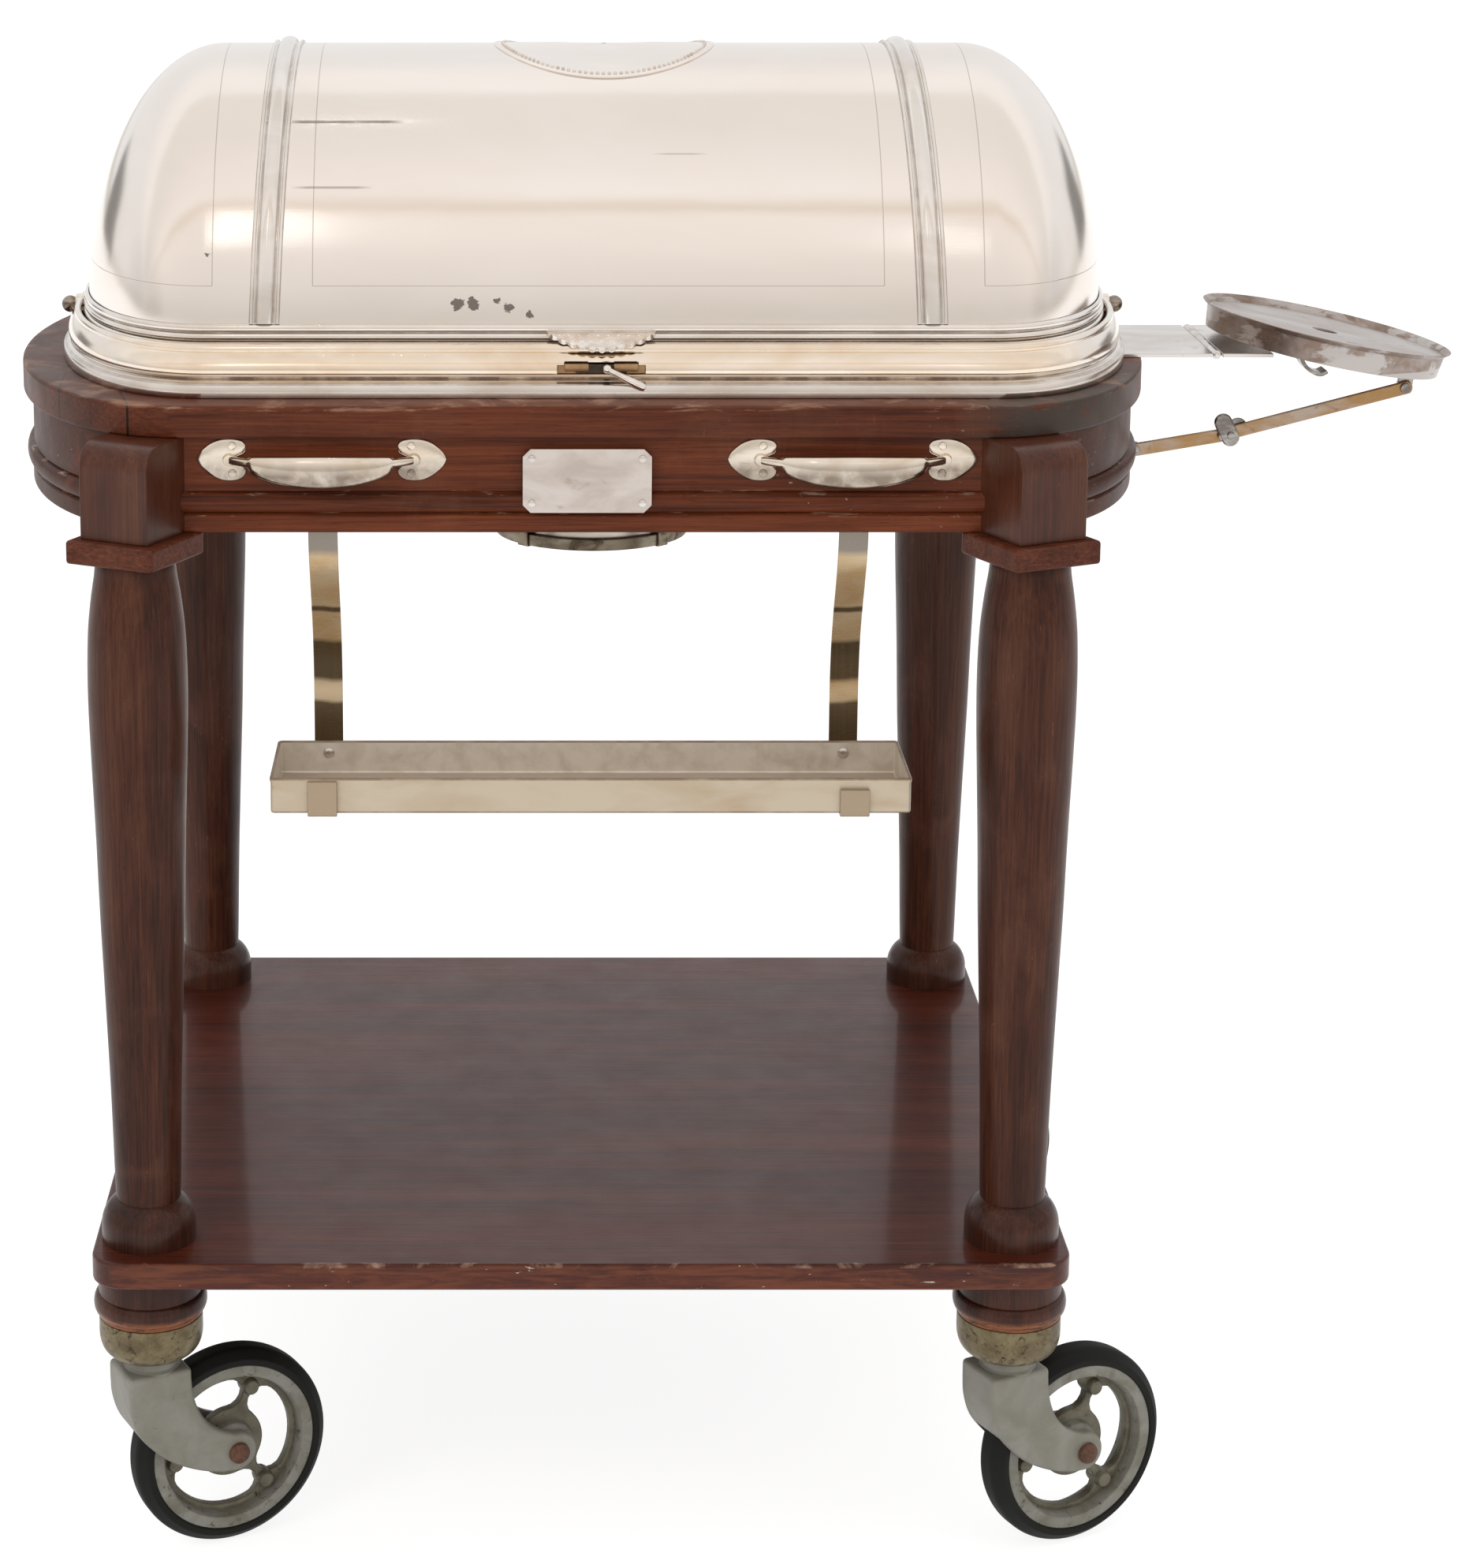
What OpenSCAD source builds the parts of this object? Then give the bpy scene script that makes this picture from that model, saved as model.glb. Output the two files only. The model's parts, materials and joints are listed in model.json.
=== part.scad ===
// Carving trolley: a roll-top dome over a well set in a wooden stand on four casters,
// with a knife trough under the front and a folding plate stand at the right-hand end.
// Millimetres. The floor is z = 0, the front is -y and the plate stand is at +x.

/* [Stand] */
// Half the distance between the leg centres, side to side
leg_x = 316; // [300:1:330]
// Half the distance between the leg centres, front to back
leg_y = 270; // [262:1:278]
// How far each leg is turned outward about its own axis, degrees
leg_turn = 26; // [15:1:35]
// Side of the square block at the top of a leg
block_w = 55; // [50:1:60]
// Side of the square cap under the block
cap_w = 71; // [66:1:78]
// Height of the apron's bottom edge, which is the top of the leg caps
apron_z = 779; // [760:1:790]
// Thickness of the leg caps
cap_t = 17; // [12:1:22]

/* [Wooden top] */
// Sideways shift of the wooden top from the middle of the legs
wood_cx = 3; // [0:1:6]
// Half the length of the board's straight front edge
wood_straight = 285; // [275:1:295]
// How far each bowed end stands out past the straight
wood_bow = 143; // [135:1:150]
// Half the depth of the board
wood_depth = 268; // [262:1:272]
// Height of the board's underside
board_z = 848; // [844:1:852]
// Thickness of the board
board_t = 23; // [20:1:26]
// How far the board overhangs the apron
board_lip = 7; // [5:1:9]
// Thickness of the apron rails
apron_t = 20; // [18:1:22]

/* [Shelf and feet] */
// Height of the shelf's top
shelf_z = 252; // [240:1:262]
// Thickness of the shelf
shelf_t = 20; // [16:1:24]
// Half the length of the shelf
shelf_hx = 355; // [352:1:360]
// Half the depth of the shelf
shelf_hy = 320; // [314:1:326]
// Radius of the shelf's corners
shelf_r = 26; // [10:1:34]

/* [Casters] */
// Wheel diameter over the tyre
wheel_d = 152; // [146:1:153]
// Width of the tyre
tyre_w = 28; // [24:1:28]
// Diameter of the wheel's casting, inside the tyre
hubcast_d = 128; // [122:1:130]
// Distance from the swivel axis to the wheel's axle
trail = 59; // [50:1:62]
// Direction of the trail at rest, degrees from +x towards the back
trail_angle = 27; // [0:1:45]

/* [Silver well and dome] */
// Sideways shift of the silver well from the middle of the legs
unit_cx = 12; // [8:1:14]
// Height of the dome's pivot axis
pivot_z = 900; // [898:1:904]
// Radius of the dome
dome_r = 201; // [196:1:202]
// Half the length of the dome's straight barrel
dome_straight = 282; // [275:1:283]
// How far each rounded end stands out past the barrel
dome_bow = 105; // [98:1:105]
// Thickness of the dome's sheet
dome_t = 1.5; // [1:0.25:2]
// Half the distance between the two reeded bands at the bottom
band_x = 240.5; // [225:0.5:250]
// How far each band leans inward at the top of the dome
band_lean = 8; // [0:1:12]

/* [Trough] */
// Sideways shift of the trough from the middle of the legs
trough_cx = 6; // [0:1:10]
// Length of the trough
trough_l = 456; // [430:1:470]
// Depth of the trough, front to back
trough_w = 95; // [85:1:100]
// Height of the trough's walls
trough_h = 26; // [20:1:32]
// Height of the trough's floor
trough_z = 579; // [560:1:600]
// Front of the trough, measured from the middle of the legs
trough_front = 284; // [280:1:290]
// Distance of each strap's middle from the trough's end
strap_in = 38.5; // [25:0.5:60]

/* [Plate stand] */
// Position of the plate stand's middle, front to back
stand_y = -10; // [-20:1:10]
// Distance of the stand's hinge from the middle of the legs
hinge_x = 483; // [480:1:486]
// Width of the stand's arm and leaf
arm_w = 130; // [100:1:134]
// Radius of the plate dish over its rim
dish_r = 96; // [90:1:98]
// Depth of the plate dish
dish_h = 20; // [19:1:22]
// Tilt of the plate dish down to the right, degrees
dish_tilt = 11.3; // [8:0.1:12]

/* [Hidden] */
$fn = 64;

// Colours
mahogany = "#6B3426";
leg_wood = "#4A2D27";
silver = "#DDD3CB";
gilt_silver = "#D9BFA0";
dull_silver = "#9A8A80";
brassy = "#C8AE7B";
cast_grey = "#8C8C88";
rubber_black = "#2B2B29";
rusty = "#5C3A28";

// Clearances
fit = 0.05;
gap = 0.3;

// Derived heights and lengths
board_top = board_z + board_t;
cap_z = apron_z - cap_t;
shelf_under = shelf_z - shelf_t;
wheel_r = wheel_d / 2;
trough_back = trough_front - trough_w;
trough_top = trough_z + trough_h;
strap_x = trough_l / 2 - strap_in;
strap_w = 21;

// The origin is under the middle of the whole object's box, the plate stand included
tyre_corner = 7;
wheel_back = leg_y + trail * sin(trail_angle) + (wheel_r - tyre_corner) * sin(trail_angle)
             + (tyre_w / 2 - tyre_corner) * cos(trail_angle) + tyre_corner;
dish_c = [hinge_x + 96, pivot_z - 14.3];
stand_right = dish_c[0] + dish_r * cos(dish_tilt);
mid_x = (stand_right + wood_cx - wood_straight - wood_bow) / 2;
mid_y = (wheel_back - shelf_hy) / 2;
module place() { translate([-mid_x, -mid_y, 0]) children(); }

// ---- Outlines with a straight front and back and bowed ends

end_steps = 36;
function outline(cx, straight, bow, depth) = concat(
    [for (i = [0:end_steps]) let (a = -90 + 180 * i / end_steps)
        [cx + straight + bow * cos(a), depth * sin(a)]],
    [for (i = [0:end_steps]) let (a = 90 + 180 * i / end_steps)
        [cx - straight + bow * cos(a), depth * sin(a)]]);

// A closed band whose section is the list of rings, each [cx, straight, bow, depth, z],
// given up the outside and down the inside
module ring_band(rings) {
    n = 2 * (end_steps + 1);
    m = len(rings);
    points = [for (r = rings) for (p = outline(r[0], r[1], r[2], r[3])) [p[0], p[1], r[4]]];
    faces = [for (i = [0:m - 1]) for (j = [0:n - 1])
        let (a = i * n + j, b = i * n + (j + 1) % n,
             c = ((i + 1) % m) * n + (j + 1) % n, d = ((i + 1) % m) * n + j)
        each [[a, d, c], [a, c, b]]];
    polyhedron(points = points, faces = faces, convexity = 8);
}
function wood_ring(o, z) = [wood_cx, wood_straight, wood_bow + o, wood_depth + o, z];
function unit_ring(bow, depth, z) = [unit_cx, dome_straight, bow, depth, z];

// A flat strip along a line of points, as a polygon of thickness t
function strip(p, t) = let (n = len(p) - 1,
    dir = [for (i = [0:n]) let (v = p[min(i + 1, n)] - p[max(i - 1, 0)]) v / norm(v)],
    side = [for (d = dir) [-d[1], d[0]] * t / 2])
    concat([for (i = [0:n]) p[i] + side[i]], [for (i = [n:-1:0]) p[i] - side[i]]);

// ---- Wooden top

well_bow = dome_bow + 9.5;
well_depth = dome_r + 13;
module top_board() color(mahogany) place()
    ring_band([wood_ring(-2, board_z), wood_ring(0, board_z + 2), wood_ring(0, board_top - 3),
               wood_ring(-1, board_top - 1), wood_ring(-3, board_top),
               unit_ring(well_bow, well_depth, board_top), unit_ring(well_bow, well_depth, board_z)]);

bead_z = 801;
bead_h = 7;
bead_out = 5;
// The rails' section, as [out from the board's edge, height], up the face and down the back
rail_face = -board_lip;
rail_section = concat(
    [[rail_face - 1, apron_z], [rail_face + 1, apron_z + 2], [rail_face + 1, apron_z + 12],
     [rail_face - 1, apron_z + 14]],
    [for (i = [0:6]) let (a = -90 + 30 * i) [rail_face + bead_out * cos(a), bead_z + bead_h * sin(a)]],
    [[rail_face, board_z], [rail_face - apron_t, board_z], [rail_face - apron_t, apron_z]]);
rail_over = 10;
rail_end_angle = 84;
module off_blocks() difference() {
    children();
    for (sx = [-1, 1]) for (sy = [-1, 1]) at_leg(sx, sy) rotate([0, 0, leg_turn])
        translate([-block_w / 2, -2 * block_w, apron_z - 2])
            cube([block_w, 2 * block_w + block_back, 2 * block_w]);
}
module straight_rail() color(mahogany) place() off_blocks()
    translate([wood_cx, 0, 0]) rotate([90, 0, 90]) linear_extrude(2 * (wood_straight + rail_over), center = true)
        polygon([for (q = rail_section) [-wood_depth - q[0], q[1]]]);
module apron_front() straight_rail();
module apron_back() translate([0, -2 * mid_y, 0]) mirror([0, 1, 0]) straight_rail();
module rail_frame(s) translate([wood_cx, 0, 0]) mirror([s < 0 ? 1 : 0, 0, 0]) children();
module bowed_rail(s) color(mahogany) place() off_blocks() rail_frame(s) {
    n = end_steps + 1;
    m = len(rail_section);
    points = [for (q = rail_section) for (i = [0:end_steps]) let (a = rail_end_angle * (2 * i / end_steps - 1))
        [wood_straight + (wood_bow + q[0]) * cos(a), (wood_depth + q[0]) * sin(a), q[1]]];
    sides = [for (i = [0:m - 1]) for (j = [0:n - 2])
        let (a = i * n + j, b = i * n + j + 1, c = ((i + 1) % m) * n + j + 1, d = ((i + 1) % m) * n + j)
        each [[a, d, c], [a, c, b]]];
    polyhedron(points = points, convexity = 6,
               faces = concat(sides, [[for (i = [m - 1:-1:0]) i * n]], [[for (i = [0:m - 1]) i * n + n - 1]]));
}
module apron_left() bowed_rail(-1);
module apron_right() bowed_rail(1);

// ---- Legs

module at_leg(sx, sy) translate([sx * leg_x, sy * leg_y, 0])
    mirror([sx < 0 ? 1 : 0, 0, 0]) mirror([0, sy > 0 ? 1 : 0, 0]) children();

// The block carries the apron rails on its sides, and its back reaches inside them
block_back = 42;
block_round = 20;
module leg_block() {
    front = -block_w / 2;
    arc = [for (i = [0:6]) let (a = 180 - 15 * i)
        [front + block_round + block_round * cos(a), board_z - block_round + block_round * sin(a)]];
    side = concat([[block_back, apron_z], [front, apron_z]], arc, [[block_back, board_z]]);
    rotate([0, 0, leg_turn]) rotate([90, 0, 90])
        linear_extrude(block_w, center = true) polygon(side);
}

tenon_r = 15;
dowel_r = 12;
dowel_l = 38;
collar_h = 32;
// The leg and its collar are let into the shelf by this much
collar_let = 1;
leg_foot_r = 22;
leg_profile = [[27.5, cap_z], [28.6, 757], [29.4, 750], [32, 733], [34.4, 710], [35.4, 680],
               [35.2, 650], [34.2, 617], [32.1, 558], [30.5, 500], [28.8, 454], [25.8, 370],
               [23.6, shelf_z + collar_h]];
module leg(sx, sy) color(leg_wood) place() at_leg(sx, sy) {
    rotate_extrude() polygon(concat([[0, cap_z]], leg_profile,
        [[leg_foot_r, shelf_z + collar_h], [leg_foot_r, shelf_z - collar_let], [0, shelf_z - collar_let]]));
    translate([0, 0, cap_z - 1]) cylinder(r = tenon_r, h = cap_t + 2);
    translate([0, 0, shelf_z - dowel_l]) cylinder(r = dowel_r, h = dowel_l + 1);
    leg_block();
}
module leg_front_left() leg(-1, -1);
module leg_front_right() leg(1, -1);
module leg_back_left() leg(-1, 1);
module leg_back_right() leg(1, 1);

module leg_caps() color(mahogany) place()
    for (sx = [-1, 1]) for (sy = [-1, 1]) at_leg(sx, sy) difference() {
        rotate([0, 0, leg_turn]) translate([-cap_w / 2, -cap_w / 2, cap_z]) cube([cap_w, cap_w, cap_t]);
        translate([0, 0, cap_z - 1]) cylinder(r = tenon_r + fit, h = cap_t + 2);
    }

collar_r = 34.5;
module leg_collars() color(leg_wood) place()
    for (sx = [-1, 1]) for (sy = [-1, 1]) at_leg(sx, sy) translate([0, 0, shelf_z])
        rotate_extrude() polygon([[leg_foot_r + fit, -collar_let], [collar_r, -collar_let], [collar_r, 12],
            [collar_r - 0.4, 16], [collar_r - 1.6, 20.5], [collar_r - 3.8, 25], [collar_r - 6.6, 28.6],
            [collar_r - 9.6, 31], [collar_r - 11.6, collar_h], [leg_foot_r + fit, collar_h]]);

// ---- Shelf and feet

module shelf() color(mahogany) place() translate([0, 0, shelf_under]) difference() {
    linear_extrude(shelf_t) polygon([for (k = [0:3]) for (i = [0:6])
        let (a = 90 * k + 15 * i, sx = (k == 0 || k == 3) ? 1 : -1, sy = k < 2 ? 1 : -1)
        [sx * (shelf_hx - shelf_r) + shelf_r * cos(a), sy * (shelf_hy - shelf_r) + shelf_r * sin(a)]]);
    for (sx = [-1, 1]) for (sy = [-1, 1]) translate([sx * leg_x, sy * leg_y, 0]) {
        translate([0, 0, -1]) cylinder(r = dowel_r + fit, h = shelf_t + 2);
        translate([0, 0, shelf_t - collar_let]) cylinder(r = collar_r + fit, h = 2 * collar_let);
    }
}

foot_z = 193;
foot_r = 38;
foot_bead = 3.5;
foot_bead_z = 10.5;
foot_bead_half = 7.5;
module feet() color(leg_wood) place()
    for (sx = [-1, 1]) for (sy = [-1, 1]) at_leg(sx, sy) difference() {
        rotate_extrude() polygon(concat([[0, foot_z], [foot_r - 1, foot_z], [foot_r, foot_z + 1.5],
            [foot_r, foot_z + foot_bead_z - foot_bead_half]],
            [for (i = [1:8]) let (a = -90 + 22.5 * i)
                [foot_r + foot_bead * cos(a), foot_z + foot_bead_z + foot_bead_half * sin(a)]],
            [[foot_r, shelf_under], [0, shelf_under]]));
        translate([0, 0, shelf_z - dowel_l - gap]) cylinder(r = dowel_r + fit, h = dowel_l);
    }

cup_z = 159;
stem_r = 10;
stem_top = 186;
module caster_cups() color(dull_silver) place()
    for (sx = [-1, 1]) for (sy = [-1, 1]) at_leg(sx, sy) difference() {
        rotate_extrude() polygon([[0, cup_z], [foot_r - 15, cup_z], [foot_r - 11, cup_z + 1.5],
            [foot_r - 6.5, cup_z + 5], [foot_r - 2.5, cup_z + 10], [foot_r - 0.5, cup_z + 16],
            [foot_r, cup_z + 21], [foot_r, foot_z], [0, foot_z]]);
        translate([0, 0, cup_z - 1]) cylinder(r = stem_r + fit, h = stem_top + gap - cup_z + 1);
    }

// ---- Casters

// The wheel's own frame: x along the trail, y along the axle, z up
module at_caster(sx, sy) translate([sx * leg_x, sy * leg_y, 0]) rotate([0, 0, trail_angle]) children();
module at_wheel(sx, sy) at_caster(sx, sy) translate([trail, 0, wheel_r]) rotate([90, 0, 0]) children();

crown_z = 152;
crown_front = 26;
crown_back = 23;
neck_r = 19;
fork_w = 44;
wheel_gap = 3;
axle_r = 5;
axle_eye = 15;
// Side of the cast yoke, and its plan with the two front corners rounded
fork_side = concat(
    [[crown_back, crown_z], [-crown_front, crown_z], [-crown_front, 138], [-25, 124], [-19.5, 107], [-8, 92],
     [4, 81], [16, 73.5], [30, 67], [44, 62.5]],
    [for (i = [0:8]) let (a = -100 + 21 * i) [trail + axle_eye * cos(a), wheel_r + axle_eye * sin(a)]],
    [[46, 96], [37, 103], [30, 113], [25.5, 125], [crown_back + 0.5, 138]]);
fork_round = 6;
fork_half = [for (i = [0:4]) let (a = 22.5 * i)
    [-crown_front + fork_round * (1 - sin(a)), fork_w / 2 - fork_round * (1 - cos(a))]];
fork_plan = concat([[trail + 2 * axle_eye, fork_w / 2]], fork_half,
    [for (i = [4:-1:0]) [fork_half[i][0], -fork_half[i][1]]], [[trail + 2 * axle_eye, -fork_w / 2]]);
module fork(sx, sy) color(cast_grey) place() at_caster(sx, sy) difference() {
    union() {
        translate([0, 0, crown_z - 1]) cylinder(r = neck_r, h = cup_z - gap - crown_z + 1);
        translate([0, 0, crown_z]) cylinder(r = stem_r, h = stem_top - crown_z);
        intersection() {
            translate([0, fork_w / 2 + 1, 0]) rotate([90, 0, 0])
                linear_extrude(fork_w + 2) polygon(fork_side);
            linear_extrude(crown_z + 1) polygon(fork_plan);
        }
    }
    translate([trail, 0, wheel_r]) rotate([90, 0, 0])
        cylinder(r = wheel_r + wheel_gap, h = tyre_w + wheel_gap, center = true);
    translate([trail, 0, wheel_r]) rotate([90, 0, 0]) cylinder(r = axle_r + fit, h = fork_w + 2, center = true);
}

web_t = 8;
rim_in = 55;
rim_w = 26;
hub_r = 17;
hub_l = 30;
spoke_half = 22;
kidney_in = 25;
kidney_out = 51;
rivet_at = 45;
function kidney(r0, r1, a0, a1) = let (rc = (r0 + r1) / 2, h = (r1 - r0) / 2) concat(
    [for (i = [0:10]) let (a = a0 + (a1 - a0) * i / 10) [r1 * cos(a), r1 * sin(a)]],
    [for (i = [1:5]) let (b = 30 * i)
        [rc * cos(a1) + h * cos(a1 + b), rc * sin(a1) + h * sin(a1 + b)]],
    [for (i = [10:-1:0]) let (a = a0 + (a1 - a0) * i / 10) [r0 * cos(a), r0 * sin(a)]],
    [for (i = [1:5]) let (b = 180 + 30 * i)
        [rc * cos(a0) + h * cos(a0 + b), rc * sin(a0) + h * sin(a0 + b)]]);
module wheel(sx, sy) color(cast_grey) place() at_wheel(sx, sy) {
    difference() {
        union() {
            rotate_extrude() polygon([[rim_in, -rim_w / 2], [hubcast_d / 2, -rim_w / 2],
                [hubcast_d / 2, rim_w / 2], [rim_in, rim_w / 2], [rim_in - 2, web_t / 2], [rim_in - 2, -web_t / 2]]);
            cylinder(r = rim_in, h = web_t, center = true);
            cylinder(r = hub_r, h = hub_l, center = true);
        }
        for (k = [0:2]) rotate([0, 0, 120 * k + 68]) linear_extrude(web_t + 2, center = true)
            polygon(kidney(kidney_in, kidney_out, spoke_half, 120 - spoke_half));
        cylinder(r = axle_r + fit, h = hub_l + 2, center = true);
    }
    for (k = [0:2]) rotate([0, 0, 120 * k + 68]) translate([rivet_at, 0, 0])
        cylinder(r = 4.5, h = web_t + 6, center = true);
}
module tyre(sx, sy) color(rubber_black) place() at_wheel(sx, sy) rotate_extrude()
    polygon(concat([[hubcast_d / 2, tyre_w / 2 - 1], [hubcast_d / 2, -tyre_w / 2 + 1], [hubcast_d / 2 + 1, -tyre_w / 2]],
        [for (i = [0:6]) let (a = -90 + 15 * i) [wheel_r - tyre_corner + tyre_corner * cos(a),
            -tyre_w / 2 + tyre_corner + tyre_corner * sin(a)]],
        [for (i = [0:6]) let (a = 15 * i) [wheel_r - tyre_corner + tyre_corner * cos(a),
            tyre_w / 2 - tyre_corner + tyre_corner * sin(a)]],
        [[hubcast_d / 2 + 1, tyre_w / 2]]));

bolt_head_r = 8;
bolt_head_h = 5;
module axle(sx, sy) color(rusty) place() at_wheel(sx, sy) {
    cylinder(r = axle_r, h = fork_w + 2 * bolt_head_h, center = true);
    translate([0, 0, fork_w / 2]) cylinder(r = bolt_head_r, h = bolt_head_h);
    translate([0, 0, -fork_w / 2 - bolt_head_h]) cylinder(r = bolt_head_r + 1, h = bolt_head_h, $fn = 6);
}
module fork_front_left() fork(-1, -1);
module fork_front_right() fork(1, -1);
module fork_back_left() fork(-1, 1);
module fork_back_right() fork(1, 1);
module wheel_front_left() wheel(-1, -1);
module wheel_front_right() wheel(1, -1);
module wheel_back_left() wheel(-1, 1);
module wheel_back_right() wheel(1, 1);
module tyre_front_left() tyre(-1, -1);
module tyre_front_right() tyre(1, -1);
module tyre_back_left() tyre(-1, 1);
module tyre_back_right() tyre(1, 1);
module axle_front_left() axle(-1, -1);
module axle_front_right() axle(1, -1);
module axle_back_left() axle(-1, 1);
module axle_back_right() axle(1, 1);

// ---- Silver well

// The rim is a formed sheet: a flat flange, a groove, a rounded band and a rolled top edge
rim_bow = dome_bow + 5.5;
rim_depth = dome_r + 10.5;
flange_bow = rim_bow + 13.5;
flange_depth = rim_depth + 28;
// Each point of the rim's section: out at the ends, out at the front, up from the board
function rim_at(p) = unit_ring(rim_bow + p[0], rim_depth + p[1], board_top + p[2]);
rim_line = [[13.5, 28, 0], [13.5, 28, 8.5], [12.5, 26.8, 9.7], [10.5, 22, 10.5], [9.1, 19, 12], [9.3, 18.5, 14],
            [9.9, 19, 16.5], [9.1, 17.3, 22], [7.1, 13.5, 27.5], [5.3, 9.5, 31.5], [5, 8, 34], [2.7, 4, 35.8],
            [0.4, 0.8, 34.2], [0, 0, 31], [0, 0, 0], [2, 2.5, 0], [2, 2.5, 28], [7.5, 14, 22], [7.5, 15, 7],
            [10.5, 24.5, 6], [10.5, 24.5, 0]];
arm_t = 3;
arm_x0 = unit_cx + dome_straight + flange_bow - 14;
pin_r = 5;
module well_rim() color(gilt_silver) place() difference() {
    union() {
        ring_band([for (p = rim_line) rim_at(p)]);
        for (s = [-1, 1]) translate([unit_cx + s * (dome_straight + rim_bow + 0.1), 0, pivot_z])
            rotate([0, s * 90, 0]) cylinder(r = 8, h = 7);
    }
    for (s = [-1, 1]) translate([unit_cx + s * (dome_straight + rim_bow - 5), 0, pivot_z])
        rotate([0, s * 90, 0]) cylinder(r = pin_r + fit, h = 20);
    translate([arm_x0 - fit, stand_y - arm_w / 2 - fit, board_top - 1])
        cube([40, arm_w + 2 * fit, arm_t + 1 + fit]);
    translate([window_x - window_w / 2, window_y, catch_z - window_h / 2]) mirror([0, 1, 0])
        cube([window_w, 20, window_h - window_step]);
    translate([window_x - window_w / 2 + 2 * window_step, window_y, catch_z - window_h / 2]) mirror([0, 1, 0])
        cube([window_w - 4 * window_step, 20, window_h]);
}

ball_r = 6.5;
ball_at = dome_straight + rim_bow + 0.1 + 7 + 4.5;
pin_in = 373;
module pivot_pins() color(silver) place()
    for (s = [-1, 1]) translate([unit_cx, 0, pivot_z]) mirror([s < 0 ? 1 : 0, 0, 0]) {
        translate([pin_in, 0, 0]) rotate([0, 90, 0]) cylinder(r = pin_r, h = ball_at - pin_in);
        translate([pin_in, 0, 0]) rotate([0, 90, 0]) cylinder(r = pin_r + 3, h = 3.7);
        translate([ball_at, 0, 0]) sphere(r = ball_r);
    }

// ---- Dome: half of a body of revolution about the pivot axis

dome_steps = 18;
function dome_curve(bow, r) = concat(
    [for (i = [0:dome_steps]) let (a = 90 * i / dome_steps) [r * sin(a), dome_straight + bow * cos(a)]],
    [for (i = [dome_steps:-1:0]) let (a = 90 * i / dome_steps) [r * sin(a), -dome_straight - bow * cos(a)]]);
module on_pivot() translate([unit_cx, 0, pivot_z]) children();
boss_r = 14;
module dome_shell() color(silver) place() on_pivot() difference() {
    union() {
        rotate([0, 90, 0]) rotate([0, 0, 90]) rotate_extrude(angle = 180, $fn = 128)
            difference() {
                polygon(dome_curve(dome_bow, dome_r));
                polygon(dome_curve(dome_bow - dome_t, dome_r - dome_t));
            }
        for (s = [-1, 1]) translate([s * (dome_straight + dome_bow - 5), 0, 0])
            rotate([0, s * 90, 0]) cylinder(r = boss_r, h = 4.2);
    }
    rotate([0, 90, 0]) cylinder(r = pin_r + fit, h = 2 * (dome_straight + dome_bow + 5), center = true);
}

reed_h = 6;
border_h = 3 * reed_h;
module dome_border() color(silver) place() difference() {
    ring_band(concat([for (k = [0:2]) for (i = [0:2]) let (out = 1 + (4 - k) * 0.75 * sin(90 * i))
            unit_ring(dome_bow + min(out, 4), dome_r + out, pivot_z + k * reed_h + reed_h * i / 2)],
        [unit_ring(dome_bow + 0.1, dome_r + 0.1, pivot_z + border_h),
         unit_ring(dome_bow + 0.1, dome_r + 0.1, pivot_z)]));
    on_pivot() rotate([0, 90, 0]) cylinder(r = pin_r + 0.6, h = 3 * dome_straight, center = true);
}

band_seat = 0.3;
band_profile = [[-11, band_seat], [-11, 1.2], [-9.5, 2.4], [-8, 1.2], [-5.5, 1.2], [-4, 3.8], [0, 5.2],
                [4, 3.8], [5.5, 1.2], [8, 1.2], [9.5, 2.4], [11, 1.2], [11, band_seat]];
band_steps = 48;
band_from = asin(border_h / dome_r) + 0.1;
module dome_bands() color(silver) place() on_pivot() for (s = [-1, 1]) {
    n = len(band_profile);
    points = [for (i = [0:band_steps]) for (p = band_profile)
        let (a = band_from + (180 - 2 * band_from) * i / band_steps, r = dome_r + p[1])
        [s * (band_x - band_lean * sin(a) + p[0]), -r * cos(a), r * sin(a)]];
    sides = [for (i = [0:band_steps - 1]) for (j = [0:n - 1])
        let (a = i * n + j, b = i * n + (j + 1) % n, c = (i + 1) * n + (j + 1) % n, d = (i + 1) * n + j)
        each (s > 0 ? [[a, c, b], [a, d, c]] : [[a, b, c], [a, c, d]])];
    start = [for (j = [0:n - 1]) s > 0 ? j : n - 1 - j];
    finish = [for (j = [0:n - 1]) band_steps * n + (s > 0 ? n - 1 - j : j)];
    polyhedron(points = points, faces = concat(sides, [start], [finish]), convexity = 4);
}

// Scalloped lip at the front edge of the dome, over the rim
lift_x = 2;
lift_w = 78;
lift_l = 23;
lift_lobes = 11;
lift_t = 2;
lift_steps = 77;
lift_in = 2;
lift_line = [[-dome_r - lift_in, 12.5], [-dome_r - 7, 12], [-dome_r - 13, 10.6], [-dome_r - 19, 8],
             [-dome_r - 24, 4.6], [-dome_r - 28, 0.6]];
module thumb_lift() color(silver) place() on_pivot() intersection() {
    translate([lift_x - lift_w / 2, 0, 0]) rotate([90, 0, 90]) linear_extrude(lift_w)
        polygon(strip(lift_line, lift_t));
    translate([lift_x, -dome_r, -lift_l]) linear_extrude(2 * lift_l) polygon(concat(
        [[lift_w / 2, -lift_in], [-lift_w / 2, -lift_in]],
        [for (i = [0:lift_steps]) let (u = -1 + 2 * i / lift_steps, lobe = abs(sin(90 * lift_lobes * (u + 1))))
            [lift_w / 2 * u, -3 - (lift_l - 3) * pow(max(0, 1 - u * u), 0.6) - 2.2 * lobe]]));
}

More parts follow.
